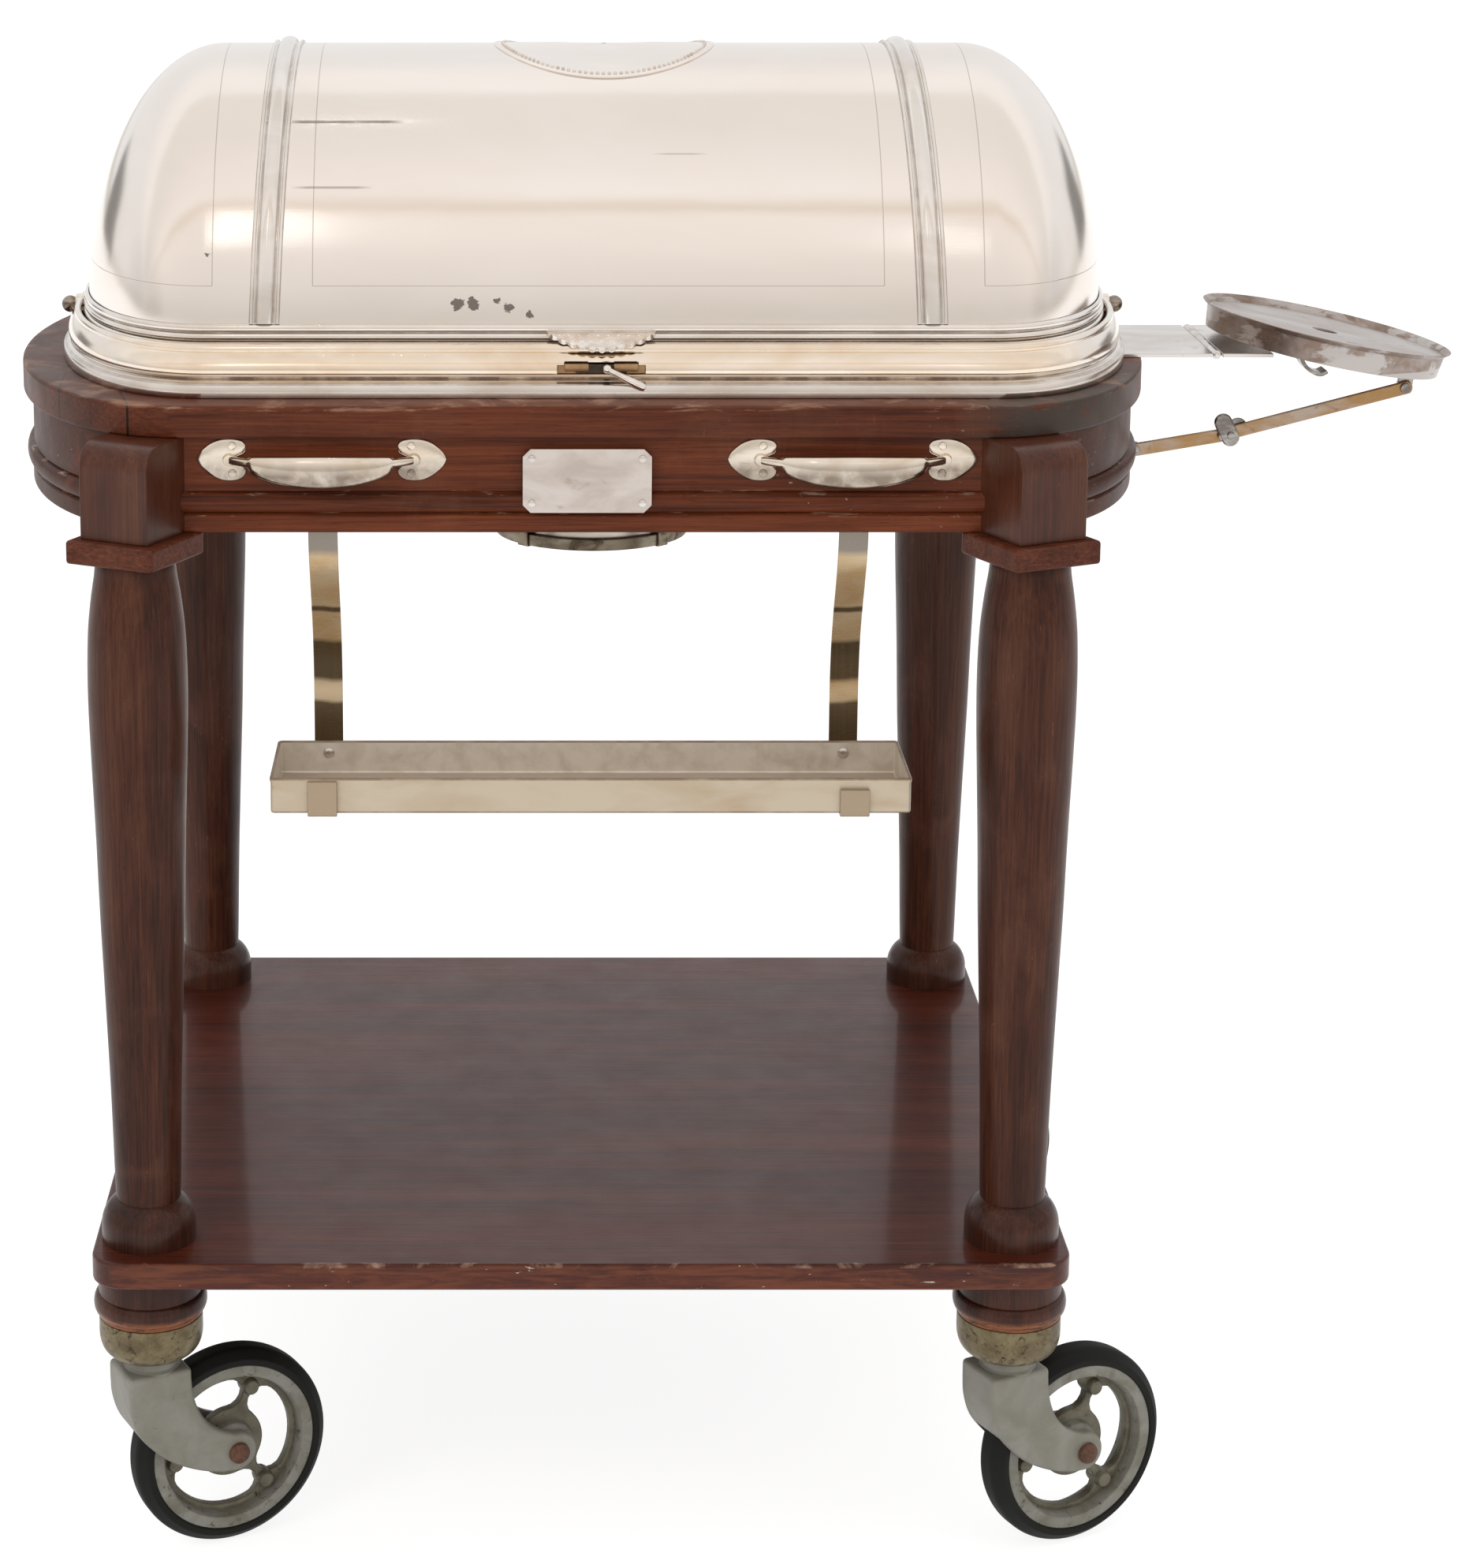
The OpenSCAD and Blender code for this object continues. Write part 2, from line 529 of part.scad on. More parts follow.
cartouche_at = 8;
cartouche_x = 84;
cartouche_y = 87;
module cartouche() color(silver) place() on_pivot() translate([cartouche_at, 0, 0]) intersection() {
    rotate([0, 90, 0]) difference() {
        cylinder(r = dome_r + 0.9, h = 2 * cartouche_x + 2, center = true, $fn = 128);
        cylinder(r = dome_r + 0.05, h = 2 * cartouche_x + 4, center = true, $fn = 128);
    }
    translate([0, 0, dome_r / 2]) linear_extrude(dome_r)
        polygon([for (i = [0:59]) [cartouche_x * cos(6 * i), cartouche_y * sin(6 * i)]]);
}

// ---- Catch in a window at the front of the rim

catch_z = 891.5;
catch_pin_x = unit_cx + 5.5;
window_x = unit_cx + 1.5;
window_w = 63;
window_h = 9;
window_step = 2.5;
window_y = -rim_depth - 13.5;
keeper_t = 3;
keeper_front = window_y - gap - keeper_t;
barrel_r = 2.8;
barrel_l = 17;
barrel_at = 17.5;
module catch_keeper() color(dull_silver) place() difference() {
    union() {
        translate([window_x - window_w / 2 + gap, keeper_front, catch_z - window_h / 2 + gap])
            cube([window_w - 2 * gap, keeper_t, window_h - window_step - 2 * gap]);
        for (s = [-1, 1]) translate([window_x + s * barrel_at, keeper_front, catch_z]) rotate([0, 90, 0])
            cylinder(r = barrel_r, h = barrel_l, center = true);
    }
    translate([catch_pin_x, window_y, catch_z]) rotate([90, 0, 0]) cylinder(r = lever_pin_r + fit, h = 20);
}
lever_pin_r = 2;
lever_r = 2.1;
lever_l = 31;
lever_droop = 25;
lever_out = 15;
lever_ball = 3.2;
lever_y = window_y - 10;
lever_turned = concat(
    [for (i = [0:6]) let (a = 180 - i * (180 - asin(lever_r / lever_ball)) / 6) [lever_ball * sin(a), lever_ball * cos(a)]],
    [[lever_r, lever_l - 1.5], [lever_r - 0.7, lever_l - 0.4], [0, lever_l]]);
module catch_lever() color(silver) place() translate([catch_pin_x, lever_y, catch_z]) {
    rotate([-90, 0, 0]) cylinder(r = lever_pin_r, h = window_y - gap - lever_y - 0.4);
    rotate([lever_out, 90 + lever_droop, 0]) rotate_extrude($fn = 32) polygon(lever_turned);
}

// ---- Inside the well: hot-water pan, carving dish and burner ring

pan_straight = 262;
pan_bow = dome_bow - 15;
pan_depth = dome_r - 29;
pan_z = 835;
pan_h = 58;
pan_lip = 8;
sheet = 1.5;
module pan_slab(o, h) linear_extrude(h)
    polygon(outline(unit_cx, pan_straight, pan_bow + o, pan_depth + o));
module water_pan() color(silver) place() difference() {
    union() {
        translate([0, 0, pan_z]) pan_slab(0, pan_h);
        translate([0, 0, pan_z + pan_h - sheet]) pan_slab(pan_lip, sheet);
    }
    translate([0, 0, pan_z + sheet]) pan_slab(-sheet, pan_h);
}
dish_drop = 14;
module carving_dish() color(silver) place() translate([0, 0, pan_z + pan_h]) difference() {
    union() {
        pan_slab(pan_lip - 2, sheet);
        translate([0, 0, -dish_drop]) pan_slab(-4, dish_drop + sheet);
    }
    translate([0, 0, sheet - dish_drop]) pan_slab(-4 - sheet, dish_drop + 1);
}

hanger_x = 377;
hanger_t = 3;
hanger_w = 30;
foot_drop = 38;
module pan_hangers() color(silver) place()
    for (s = [-1, 1]) translate([unit_cx, 0, pivot_z]) mirror([s < 0 ? 1 : 0, 0, 0]) difference() {
        union() {
            translate([hanger_x, -hanger_w / 2, -foot_drop]) cube([hanger_t, hanger_w, foot_drop + 10]);
            translate([pan_straight + pan_bow, -hanger_w / 2, -foot_drop])
                cube([hanger_x + hanger_t - pan_straight - pan_bow, hanger_w, hanger_t]);
            translate([pan_straight + pan_bow, -hanger_w / 2, -foot_drop])
                cube([hanger_t, hanger_w, 24]);
        }
        translate([hanger_x - 1, 0, 0]) rotate([0, 90, 0]) cylinder(r = pin_r + fit, h = hanger_t + 2);
    }

ring_r = 75;
ring_z = 721;
ring_h = 9;
ring_t = 2.5;
clip_w = 10;
clip_foot = 16;
module burner_ring() color(dull_silver) place() translate([unit_cx, 0, 0]) {
    translate([0, 0, ring_z]) difference() {
        cylinder(r = ring_r, h = ring_h);
        translate([0, 0, -1]) cylinder(r = ring_r - ring_t, h = ring_h + 2);
    }
    for (k = [0:3]) rotate([0, 0, 45 + 90 * k]) {
        translate([ring_r - 0.2, -clip_w / 2, ring_z - 1]) cube([2, clip_w, pan_z - ring_z + 1]);
        translate([ring_r - clip_foot, -clip_w / 2, ring_z - 1]) cube([clip_foot + 0.5, clip_w, 1.2]);
        translate([ring_r - 14, -clip_w / 2, pan_z - 2]) cube([15.8, clip_w, 2]);
    }
}

lamp_r = ring_r - ring_t - 1.5;
lamp_h = 42;
module spirit_burner() color(silver) place() translate([unit_cx, 0, ring_z + 0.2]) rotate_extrude()
    polygon([[0, 0], [lamp_r - 6, 0], [lamp_r - 1, 3], [lamp_r, 8], [lamp_r, lamp_h - 14], [lamp_r - 3, lamp_h - 8],
             [lamp_r - 14, lamp_h - 5], [22, lamp_h - 3], [22, lamp_h + 5], [20, lamp_h + 6], [6, lamp_h + 6],
             [6, lamp_h], [0, lamp_h]]);

// ---- Pulls and nameplate on the front

front_y = -(wood_depth - board_lip);
pull_x = 187;
pull_z = 832;
leaf_l = 35;
leaf_t = 2.5;
grip_l = 96;
grip_out = 27;
pull_span = 176;
// The leaf points away from the grip and has two lobes and a notch towards it
leaf_half = [[leaf_l, 0], [leaf_l * 0.88, 7], [leaf_l * 0.7, 12], [leaf_l * 0.5, 15], [leaf_l * 0.29, 15.5],
             [leaf_l * 0.12, 14], [0.5, 10], [0.8, 5], [6.5, 2.8]];
function leaf() = concat(leaf_half, [for (i = [len(leaf_half) - 1:-1:1]) [leaf_half[i][0], -leaf_half[i][1]]]);
grip_steps = 24;
grip_sides = 12;
// Half height, half thickness and sag of the grip at u = -1..1 along it
grip_end = 0.76;
function grip_h(u) = abs(u) > grip_end ? 3.2 : 5.6 + 6 * pow(cos(90 * u / grip_end), 0.6);
function grip_t(u) = abs(u) > grip_end ? 3 : 3.6 + 1.6 * pow(cos(90 * u / grip_end), 0.6);
function grip_sag(u) = abs(u) > grip_end ? 0 : 0.9 + 0.73 * (grip_h(u) - 5.6);
function grip_y(u) = -4 - (grip_out - 8) * (1 - pow(abs(u), 3.2));
module grip() {
    reach = pull_span / 2 - leaf_l + 12;
    points = [for (i = [0:grip_steps]) for (j = [0:grip_sides - 1])
        let (u = -1 + 2 * i / grip_steps, a = 360 * j / grip_sides)
        [reach * u, grip_y(u) + grip_t(u) * cos(a), grip_h(u) * sin(a) - grip_sag(u)]];
    n = grip_sides;
    polyhedron(points = points, convexity = 4, faces = concat(
        [for (i = [0:grip_steps - 1]) for (j = [0:n - 1])
            let (a = i * n + j, b = i * n + (j + 1) % n, c = (i + 1) * n + (j + 1) % n, d = (i + 1) * n + j)
            each [[a, c, b], [a, d, c]]],
        [[for (j = [0:n - 1]) j]], [[for (j = [n - 1:-1:0]) grip_steps * n + j]]));
}
module pull(s) color(silver) place() translate([wood_cx + s * pull_x, front_y, pull_z]) {
    grip();
    for (m = [0, 1]) mirror([m, 0, 0]) {
        translate([pull_span / 2 - leaf_l, 0, 0]) rotate([90, 0, 0]) linear_extrude(leaf_t)
            polygon(leaf());
        translate([pull_span / 2 - leaf_l + 12, -leaf_t + 0.5, 0]) rotate([90, 0, 0]) cylinder(r = 4, h = 4);
    }
}
module pull_left() pull(-1);
module pull_right() pull(1);

plate_w = 91;
plate_h = 46;
plate_z = 794.5;
plate_clip = 8;
plate_y = front_y - bead_out - gap;
module nameplate() color(dull_silver) place() translate([wood_cx, plate_y, plate_z]) {
    rotate([90, 0, 0]) linear_extrude(1.5) polygon([
        [-plate_w / 2 + plate_clip, 0], [plate_w / 2 - plate_clip, 0], [plate_w / 2, plate_clip],
        [plate_w / 2, plate_h - plate_clip], [plate_w / 2 - plate_clip, plate_h],
        [-plate_w / 2 + plate_clip, plate_h], [-plate_w / 2, plate_h - plate_clip], [-plate_w / 2, plate_clip]]);
    translate([-plate_w / 2 + 10, 0, 20]) cube([plate_w - 20, bead_out + gap, plate_h - 22]);
}

screw_r = 3.4;
module screw_head(p) translate(p) rotate([90, 0, 0]) cylinder(r = screw_r, h = 1.2);
module small_screws() color(dull_silver) place() {
    for (s = [-1, 1]) for (m = [-1, 1]) for (v = [-1, 1])
        screw_head([wood_cx + s * pull_x + m * (pull_span / 2 - leaf_l + 10), front_y - leaf_t, pull_z + v * 9.8]);
    for (m = [-1, 1]) for (v = [0, 1])
        screw_head([wood_cx + m * (plate_w / 2 - 6.5), plate_y - 1.5, plate_z + 7 + v * (plate_h - 14)]);
    for (s = [-1, 1]) screw_head([trough_cx - 1.5 + s * strap_x, -trough_back - sheet, trough_top - 9]);
}

// ---- Trough hung from the apron on two straps

module trough() color(brassy) place() translate([trough_cx - trough_l / 2, -trough_front, trough_z]) difference() {
    cube([trough_l, trough_w, trough_h]);
    translate([sheet, sheet, sheet]) cube([trough_l - 2 * sheet, trough_w - 2 * sheet, trough_h]);
}
strap_t = 3;
half_strap = strap_t / 2;
rail_in = -front_y - apron_t;
strap_line = [[-rail_in + half_strap, 835], [-rail_in + half_strap, 775], [-234, 755], [-222, 732],
              [-206, 706], [-194, 680], [-188.6, 655], [-trough_back + half_strap, 635],
              [-trough_back + half_strap, trough_z - half_strap],
              [-trough_front - half_strap, trough_z - half_strap],
              [-trough_front - half_strap, trough_top - 2]];
module strap(s) color(brassy) place() translate([trough_cx - 1.5 + s * strap_x - strap_w / 2, 0, 0]) {
    rotate([90, 0, 90]) linear_extrude(strap_w) {
        polygon(strip([for (i = [0:7]) strap_line[i]], strap_t));
        translate([-trough_back, trough_z - strap_t]) square([strap_t, 635 - trough_z + strap_t]);
        translate([-trough_front - strap_t, trough_z - strap_t]) square([trough_w + 2 * strap_t, strap_t]);
        translate([-trough_front - strap_t, trough_z - strap_t]) square([strap_t, trough_h + strap_t - 2]);
    }
}
module strap_left() strap(-1);
module strap_right() strap(1);

// ---- Folding plate stand

knuckle_r = 3.4;
hinge_r = 1.6;
hinge_z = board_top + arm_t - knuckle_r + 1.6;
knuckles = 5;
knuckle_l = (arm_w - 10) / knuckles;
module knuckle_run(first) for (k = [first:2:knuckles - 1])
    translate([hinge_x, stand_y - arm_w / 2 + 5 + k * knuckle_l + gap / 2, hinge_z]) rotate([-90, 0, 0])
        cylinder(r = knuckle_r, h = knuckle_l - gap);
module hinge_bore(r) translate([hinge_x, stand_y - arm_w / 2 - 1, hinge_z]) rotate([-90, 0, 0])
    cylinder(r = r, h = arm_w + 2);
module stand_arm() color(dull_silver) place() difference() {
    union() {
        difference() {
            translate([arm_x0, stand_y - arm_w / 2, board_top]) cube([hinge_x - arm_x0, arm_w, arm_t]);
            hinge_bore(knuckle_r + gap);
        }
        knuckle_run(0);
        for (k = [0:2:knuckles - 1])
            translate([hinge_x - knuckle_r - 2, stand_y - arm_w / 2 + 5 + k * knuckle_l + gap / 2, board_top])
                cube([knuckle_r + 2, knuckle_l - gap, arm_t - 0.5]);
    }
    hinge_bore(hinge_r + fit);
}
module stand_hinge_pin() color(dull_silver) place()
    translate([hinge_x, stand_y - arm_w / 2 + 4, hinge_z]) rotate([-90, 0, 0])
        cylinder(r = hinge_r, h = arm_w - 8);

// The leaf runs level from the hinge, then slopes with the dish and ends in a curled tab
tilt = [cos(dish_tilt), -sin(dish_tilt)];
tilt_n = [sin(dish_tilt), cos(dish_tilt)];
dish_base = dish_c - dish_h * tilt_n;
leaf_top = board_top + arm_t;
bend_s = (dish_base[1] - leaf_top) / tilt[1];
bend = dish_base - bend_s * tilt;
leaf_end = dish_base + 22 * tilt;
leaf_wide = 42;
tongue_w = 60;
tab_w = 20;
tab_y = 6;
module leaf_strip(points, w) translate([0, stand_y + w / 2, 0]) rotate([90, 0, 0]) linear_extrude(w)
    polygon(points);
module stand_leaf() color(dull_silver) place() difference() {
    union() {
        difference() {
            translate([hinge_x, stand_y - arm_w / 2, board_top]) cube([leaf_wide, arm_w, arm_t]);
            hinge_bore(knuckle_r + gap);
        }
        knuckle_run(1);
        for (k = [1:2:knuckles - 1])
            translate([hinge_x, stand_y - arm_w / 2 + 5 + k * knuckle_l + gap / 2, board_top])
                cube([knuckle_r + 2, knuckle_l - gap, arm_t - 0.5]);
        leaf_strip([[hinge_x + leaf_wide - 1, leaf_top], [bend[0], bend[1]], [leaf_end[0], leaf_end[1]],
                    [leaf_end[0], leaf_end[1]] - arm_t * tilt_n, bend - [0, arm_t],
                    [hinge_x + leaf_wide - 1, board_top]], tongue_w);
        translate([0, tab_y - stand_y, 0]) leaf_strip(strip([for (i = [0:6]) let (a = 80 - 25 * i)
            dish_base + [-6, -12] + [11 * cos(a), 10.5 * sin(a)]], 1.8), tab_w);
    }
    hinge_bore(hinge_r + fit);
}
module on_dish() translate([dish_c[0], stand_y, dish_c[1]]) rotate([0, dish_tilt, 0]) children();
// The dish: a flat floor in a rolled lip, on a skirt that is open below
dish_hole = 9.7;
dish_floor = 5;
dish_t = 1.5;
module plate_dish() color(dull_silver) place() on_dish() rotate_extrude($fn = 96)
    polygon([[dish_hole, -dish_floor], [dish_r - 6.3, -dish_floor], [dish_r - 5.4, -3], [dish_r - 1.6, 0],
             [dish_r, 0], [dish_r - 0.6, -1], [dish_r - 4.1, -3.8], [dish_r - 4.7, -dish_floor - dish_t],
             [dish_r - 6.5, -dish_h], [dish_r - 6.5 - dish_t, -dish_h], [dish_r - 6.2, -dish_floor - dish_t],
             [dish_hole, -dish_floor - dish_t]]);

eye_r = 6;
bar_t = 3;
bar_h = 10.5;
stay_pin_r = 2;
dish_pin = dish_base + 72 * tilt - 17 * tilt_n;
lug_pin = [434, 787];
elbow = [507, 799.5];
module xz_pin(p, y0, l, r) translate([p[0], y0, p[1]]) rotate([-90, 0, 0]) cylinder(r = r, h = l);
// A bar from p to q with an eye at each end, and bores at the ends listed in holes
module flat_bar(p, q, y0, holes) {
    run = q - p;
    translate([p[0], y0 + bar_t, p[1]]) rotate([90, 0, 0]) rotate([0, 0, atan2(run[1], run[0])])
        linear_extrude(bar_t) difference() {
            union() {
                translate([0, -bar_h / 2]) square([norm(run), bar_h]);
                circle(r = eye_r);
                translate([norm(run), 0]) circle(r = eye_r);
            }
            for (h = holes) translate([h * norm(run), 0]) circle(r = stay_pin_r + fit);
        }
}
// The upper bar's layer, and the lower bar's in front of it
upper_y = stand_y;
lower_y = stand_y - bar_t - gap;
module apron_lug() color(dull_silver) place() difference() {
    union() {
        translate([424.6, lower_y + bar_t + gap, lug_pin[1] - 5]) cube([lug_pin[0] - 424.6, 4, 10]);
        xz_pin(lug_pin, lower_y + bar_t + gap, 4, 5.8);
        translate([424.6, lower_y - 8, lug_pin[1] - 5.8]) cube([2.2, 24, 11.6]);
        xz_pin(lug_pin, lower_y - 1.6, bar_t + 4, stay_pin_r);
        xz_pin(lug_pin, lower_y - 1.6 - gap, 1.6, 4);
    }
    apron_clear();
}
// What the right-hand rail's band fills, so that the lug's plate lies against its bowed face
module apron_clear() translate([wood_cx, 0, apron_z - 1]) linear_extrude(board_top - apron_z) polygon(concat(
    [[0, -wood_depth]],
    [for (i = [0:end_steps]) let (a = rail_end_angle * (2 * i / end_steps - 1))
        [wood_straight + (wood_bow + rail_face + 1) * cos(a), (wood_depth + rail_face + 1) * sin(a)]],
    [[0, wood_depth]]));
module stay_lower() color(dull_silver) place() flat_bar(lug_pin, elbow, lower_y, [0, 1]);
module stay_upper() color(dull_silver) place() {
    flat_bar(elbow, dish_pin, upper_y, [1]);
    xz_pin(elbow, upper_y + bar_t - 1, 2.6, 4);
}
// The catch turns on a pin in the lower bar's eye
catch_r = 6;
catch_t = 4.5;
catch_y0 = lower_y - gap - catch_t;
catch_run = [-3, 22];
module stay_catch() color(silver) place() {
    translate([elbow[0], catch_y0 + catch_t, elbow[1]]) rotate([90, 0, 0]) linear_extrude(catch_t) {
        circle(r = catch_r);
        translate(catch_run) circle(r = catch_r);
        rotate([0, 0, atan2(catch_run[1], catch_run[0])])
            translate([0, -catch_r]) square([norm(catch_run), 2 * catch_r]);
    }
    xz_pin(elbow, catch_y0 - 1.6, catch_t + bar_t + 1.6, stay_pin_r);
    xz_pin(elbow, catch_y0 - 1.6, 2, 3);
    xz_pin(elbow + [-6.5, -1], catch_y0 + 0.6, 2.4, 3);
}
lug_t = 4;
module dish_lug() color(dull_silver) place() {
    lug_y = upper_y + bar_t + gap;
    translate([dish_pin[0], lug_y + lug_t, dish_pin[1]]) rotate([90, 0, 0]) linear_extrude(lug_t) {
        circle(r = 6);
        rotate([0, 0, -dish_tilt]) translate([-5, 0]) square([10, 17 + dish_h - dish_floor - dish_t]);
    }
    xz_pin(dish_pin, upper_y - 1, bar_t + 2.3, stay_pin_r);
    xz_pin(dish_pin, upper_y - gap - 1.6, 1.6, 4);
}

top_board();
apron_front();
apron_back();
apron_left();
apron_right();
leg_front_left();
leg_front_right();
leg_back_left();
leg_back_right();
leg_caps();
leg_collars();
shelf();
feet();
caster_cups();
fork_front_left();
fork_front_right();
fork_back_left();
fork_back_right();
wheel_front_left();
wheel_front_right();
wheel_back_left();
wheel_back_right();
tyre_front_left();
tyre_front_right();
tyre_back_left();
tyre_back_right();
axle_front_left();
axle_front_right();
axle_back_left();
axle_back_right();
well_rim();
pivot_pins();
dome_shell();
dome_border();
dome_bands();
thumb_lift();
cartouche();
catch_keeper();
catch_lever();
water_pan();
pan_hangers();
carving_dish();
burner_ring();
spirit_burner();
pull_left();
pull_right();
nameplate();
small_screws();
trough();
strap_left();
strap_right();
stand_arm();
stand_hinge_pin();
stand_leaf();
plate_dish();
dish_lug();
apron_lug();
stay_lower();
stay_upper();
stay_catch();
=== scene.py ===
# %% [markdown]
# # A carving trolley
# A carving trolley is a small mahogany table on casters with a silver well let into its top.
# A roll-top dome keeps the joint warm, a trough hangs under the front for the knives, and a
# plate stand folds out at the right. The solids come from the CAD model, and this notebook
# dresses them: each piece is made again as a smooth numpy surface in the same place, and gets
# a finish worked out from its real material.

# %% Load the solids and remember their box
import functools
import json
import math
import bpy
import bmesh
import numpy as np
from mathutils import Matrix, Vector

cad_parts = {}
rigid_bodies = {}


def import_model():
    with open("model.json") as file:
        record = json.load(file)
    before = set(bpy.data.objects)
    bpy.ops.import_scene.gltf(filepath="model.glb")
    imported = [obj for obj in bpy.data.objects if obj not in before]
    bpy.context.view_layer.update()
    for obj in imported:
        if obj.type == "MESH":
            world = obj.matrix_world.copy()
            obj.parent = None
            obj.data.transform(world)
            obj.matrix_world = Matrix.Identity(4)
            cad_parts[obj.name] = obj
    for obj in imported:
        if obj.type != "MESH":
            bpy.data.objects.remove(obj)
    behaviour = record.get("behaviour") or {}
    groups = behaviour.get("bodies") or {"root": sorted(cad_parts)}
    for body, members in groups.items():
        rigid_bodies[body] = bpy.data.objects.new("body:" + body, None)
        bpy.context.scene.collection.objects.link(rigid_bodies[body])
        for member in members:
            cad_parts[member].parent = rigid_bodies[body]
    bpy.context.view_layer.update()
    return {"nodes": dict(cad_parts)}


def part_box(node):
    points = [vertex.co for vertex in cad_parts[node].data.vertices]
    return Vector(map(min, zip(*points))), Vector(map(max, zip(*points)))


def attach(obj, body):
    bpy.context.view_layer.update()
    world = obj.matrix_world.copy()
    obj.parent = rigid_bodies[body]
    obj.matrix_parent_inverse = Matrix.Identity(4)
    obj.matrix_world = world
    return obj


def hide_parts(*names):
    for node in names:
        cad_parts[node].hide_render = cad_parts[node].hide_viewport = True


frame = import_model()
scene = bpy.context.scene
shelf_low, shelf_high = (np.array(c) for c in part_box("shelf"))
ORIGIN = np.array([(shelf_low[0] + shelf_high[0]) / 2, (shelf_low[1] + shelf_high[1]) / 2, 0.0])
print("middle of the legs, in metres:", ORIGIN.round(4))

# %% [markdown]
# ## Camera
# The photograph was taken from about 2.7 m away and 1.34 m up, with the camera tipped down
# 11 degrees. The object stands to the right of and below the lens axis, which a shifted lens
# gives: the picture plane moves and the perspective stays. All lengths below are millimetres
# from the middle of the legs on the floor, and one function turns them to metres.

# %% Camera
PICTURE = (1863, 1988)
FOCAL, LENS_AXIS = 4413.0, (652.85, 510.2)      # both in pixels of the picture
CAMERA_AT, TIPPED_DOWN = (-48.0, -2660.5, 1337.3), 10.96

def world(points):
    """Millimetres from the middle of the legs, as an array whose last axis is x, y, z, to metres in the frame."""
    return np.asarray(points, dtype=float) / 1000.0 + ORIGIN

def put(name, data):
    """A new object in the scene, at the origin."""
    thing = bpy.data.objects.new(name, data)
    scene.collection.objects.link(thing)
    return thing

camera_data = bpy.data.cameras.new("camera")
camera_data.sensor_width = 36.0
camera_data.lens = FOCAL / PICTURE[1] * camera_data.sensor_width
camera_data.shift_x = (PICTURE[0] / 2 - LENS_AXIS[0]) / PICTURE[1]
camera_data.shift_y = -(PICTURE[1] / 2 - LENS_AXIS[1]) / PICTURE[1]
camera_data.clip_end = 60
camera = put("camera", camera_data)
camera.location = world(CAMERA_AT)
camera.rotation_euler = (math.radians(90 - TIPPED_DOWN), 0, 0)
scene.camera = camera
scene.view_settings.view_transform = "Standard"

# %% [markdown]
# ## Writing patterns as formulas
# Colours are written as the hex values one would pick from a picture, and one function turns
# them into the linear light that a shader works in. One more adds a node. A small class stands
# for what a node gives out: arithmetic on it adds the nodes, so a pattern reads as a formula,
# such as a mask of the front corner times a noise for its ragged edge.

# %% Colours, nodes and signals
def tone(hex_code, alpha=1.0):
    """sRGB hex to linear: (c + 0.055) / 1.055 to the power 2.4, or c / 12.92 near black."""
    c = np.array([int(hex_code[i:i + 2], 16) for i in (1, 3, 5)]) / 255.0
    linear = np.where(c <= 0.04045, c / 12.92, ((c + 0.055) / 1.055) ** 2.4)
    return (*linear.tolist(), alpha)

def add(tree, kind, plugs=None, **settings):
    """One shader node. plugs maps an input's name or number to a value or to what another node gives out."""
    node = tree.nodes.new("ShaderNode" + kind)
    for key, value in settings.items():
        setattr(node, key, value)
    for key, value in (plugs or {}).items():
        if isinstance(value, Signal):
            tree.links.new(value.socket, node.inputs[key])
        else:
            node.inputs[key].default_value = value
    return node

class Signal:
    """What a node gives out. Arithmetic on it adds Math nodes, and | takes the larger of two masks."""
    def __init__(self, tree, socket):
        self.tree, self.socket = tree, socket

    def node(self, kind, plugs, output=0, **settings):
        return Signal(self.tree, add(self.tree, kind, plugs, **settings).outputs[output])

    def math(self, operation, other=0.0):
        return self.node("Math", {0: self, 1: other}, operation=operation)

    def __rsub__(self, other):
        return self.node("Math", {0: other, 1: self}, operation="SUBTRACT")

    __add__ = __radd__ = lambda self, other: self.math("ADD", other)
    __mul__ = __rmul__ = lambda self, other: self.math("MULTIPLY", other)
    __sub__ = lambda self, other: self.math("SUBTRACT", other)
    __truediv__ = lambda self, other: self.math("DIVIDE", other)
    __or__ = lambda self, other: self.math("MAXIMUM", other)
    __abs__ = lambda self: self.math("ABSOLUTE")

    def ramp(self, *stops):
        """Colour along a scale: stops are (position, hex or grey number)."""
        node = add(self.tree, "ValToRGB", {"Fac": self})
        marks = node.color_ramp.elements
        while len(marks) < len(stops):
            marks.new(0.5)
        for mark, (position, shade) in zip(marks, stops):
            mark.position = position
            mark.color = tone(shade) if isinstance(shade, str) else (shade, shade, shade, 1)
        return Signal(self.tree, node.outputs["Color"])

    def step(self, low, high):
        """0 up to low and 1 from high on, or falling from 1 to 0 where high is the smaller."""
        return self.ramp((low, 0.0), (high, 1.0)) if low < high else self.ramp((high, 1.0), (low, 0.0))

    def near(self, at, half):
        """1 where the signal is within half of at, falling to 0 at the edge."""
        return (abs(self - at) / (2 * half)).step(0.55, 0.35)

    def between(self, low, high, soft=0.004):
        """1 between low and high, with soft edges."""
        up, down = (self - (low - soft / 2)) * (1 / soft), ((high + soft / 2) - self) * (1 / soft)
        return self.node("Clamp", {"Value": up.math("MINIMUM", down)})

def mix(amount, under, over):
    """One colour laid over another by an amount from 0 to 1."""
    under, over = (tone(c) if isinstance(c, str) else c for c in (under, over))
    return amount.node("Mix", {0: amount, 6: under, 7: over}, output=2, data_type="RGBA")

def either(masks):
    """The largest of several masks."""
    return functools.reduce(lambda a, b: a | b, masks)

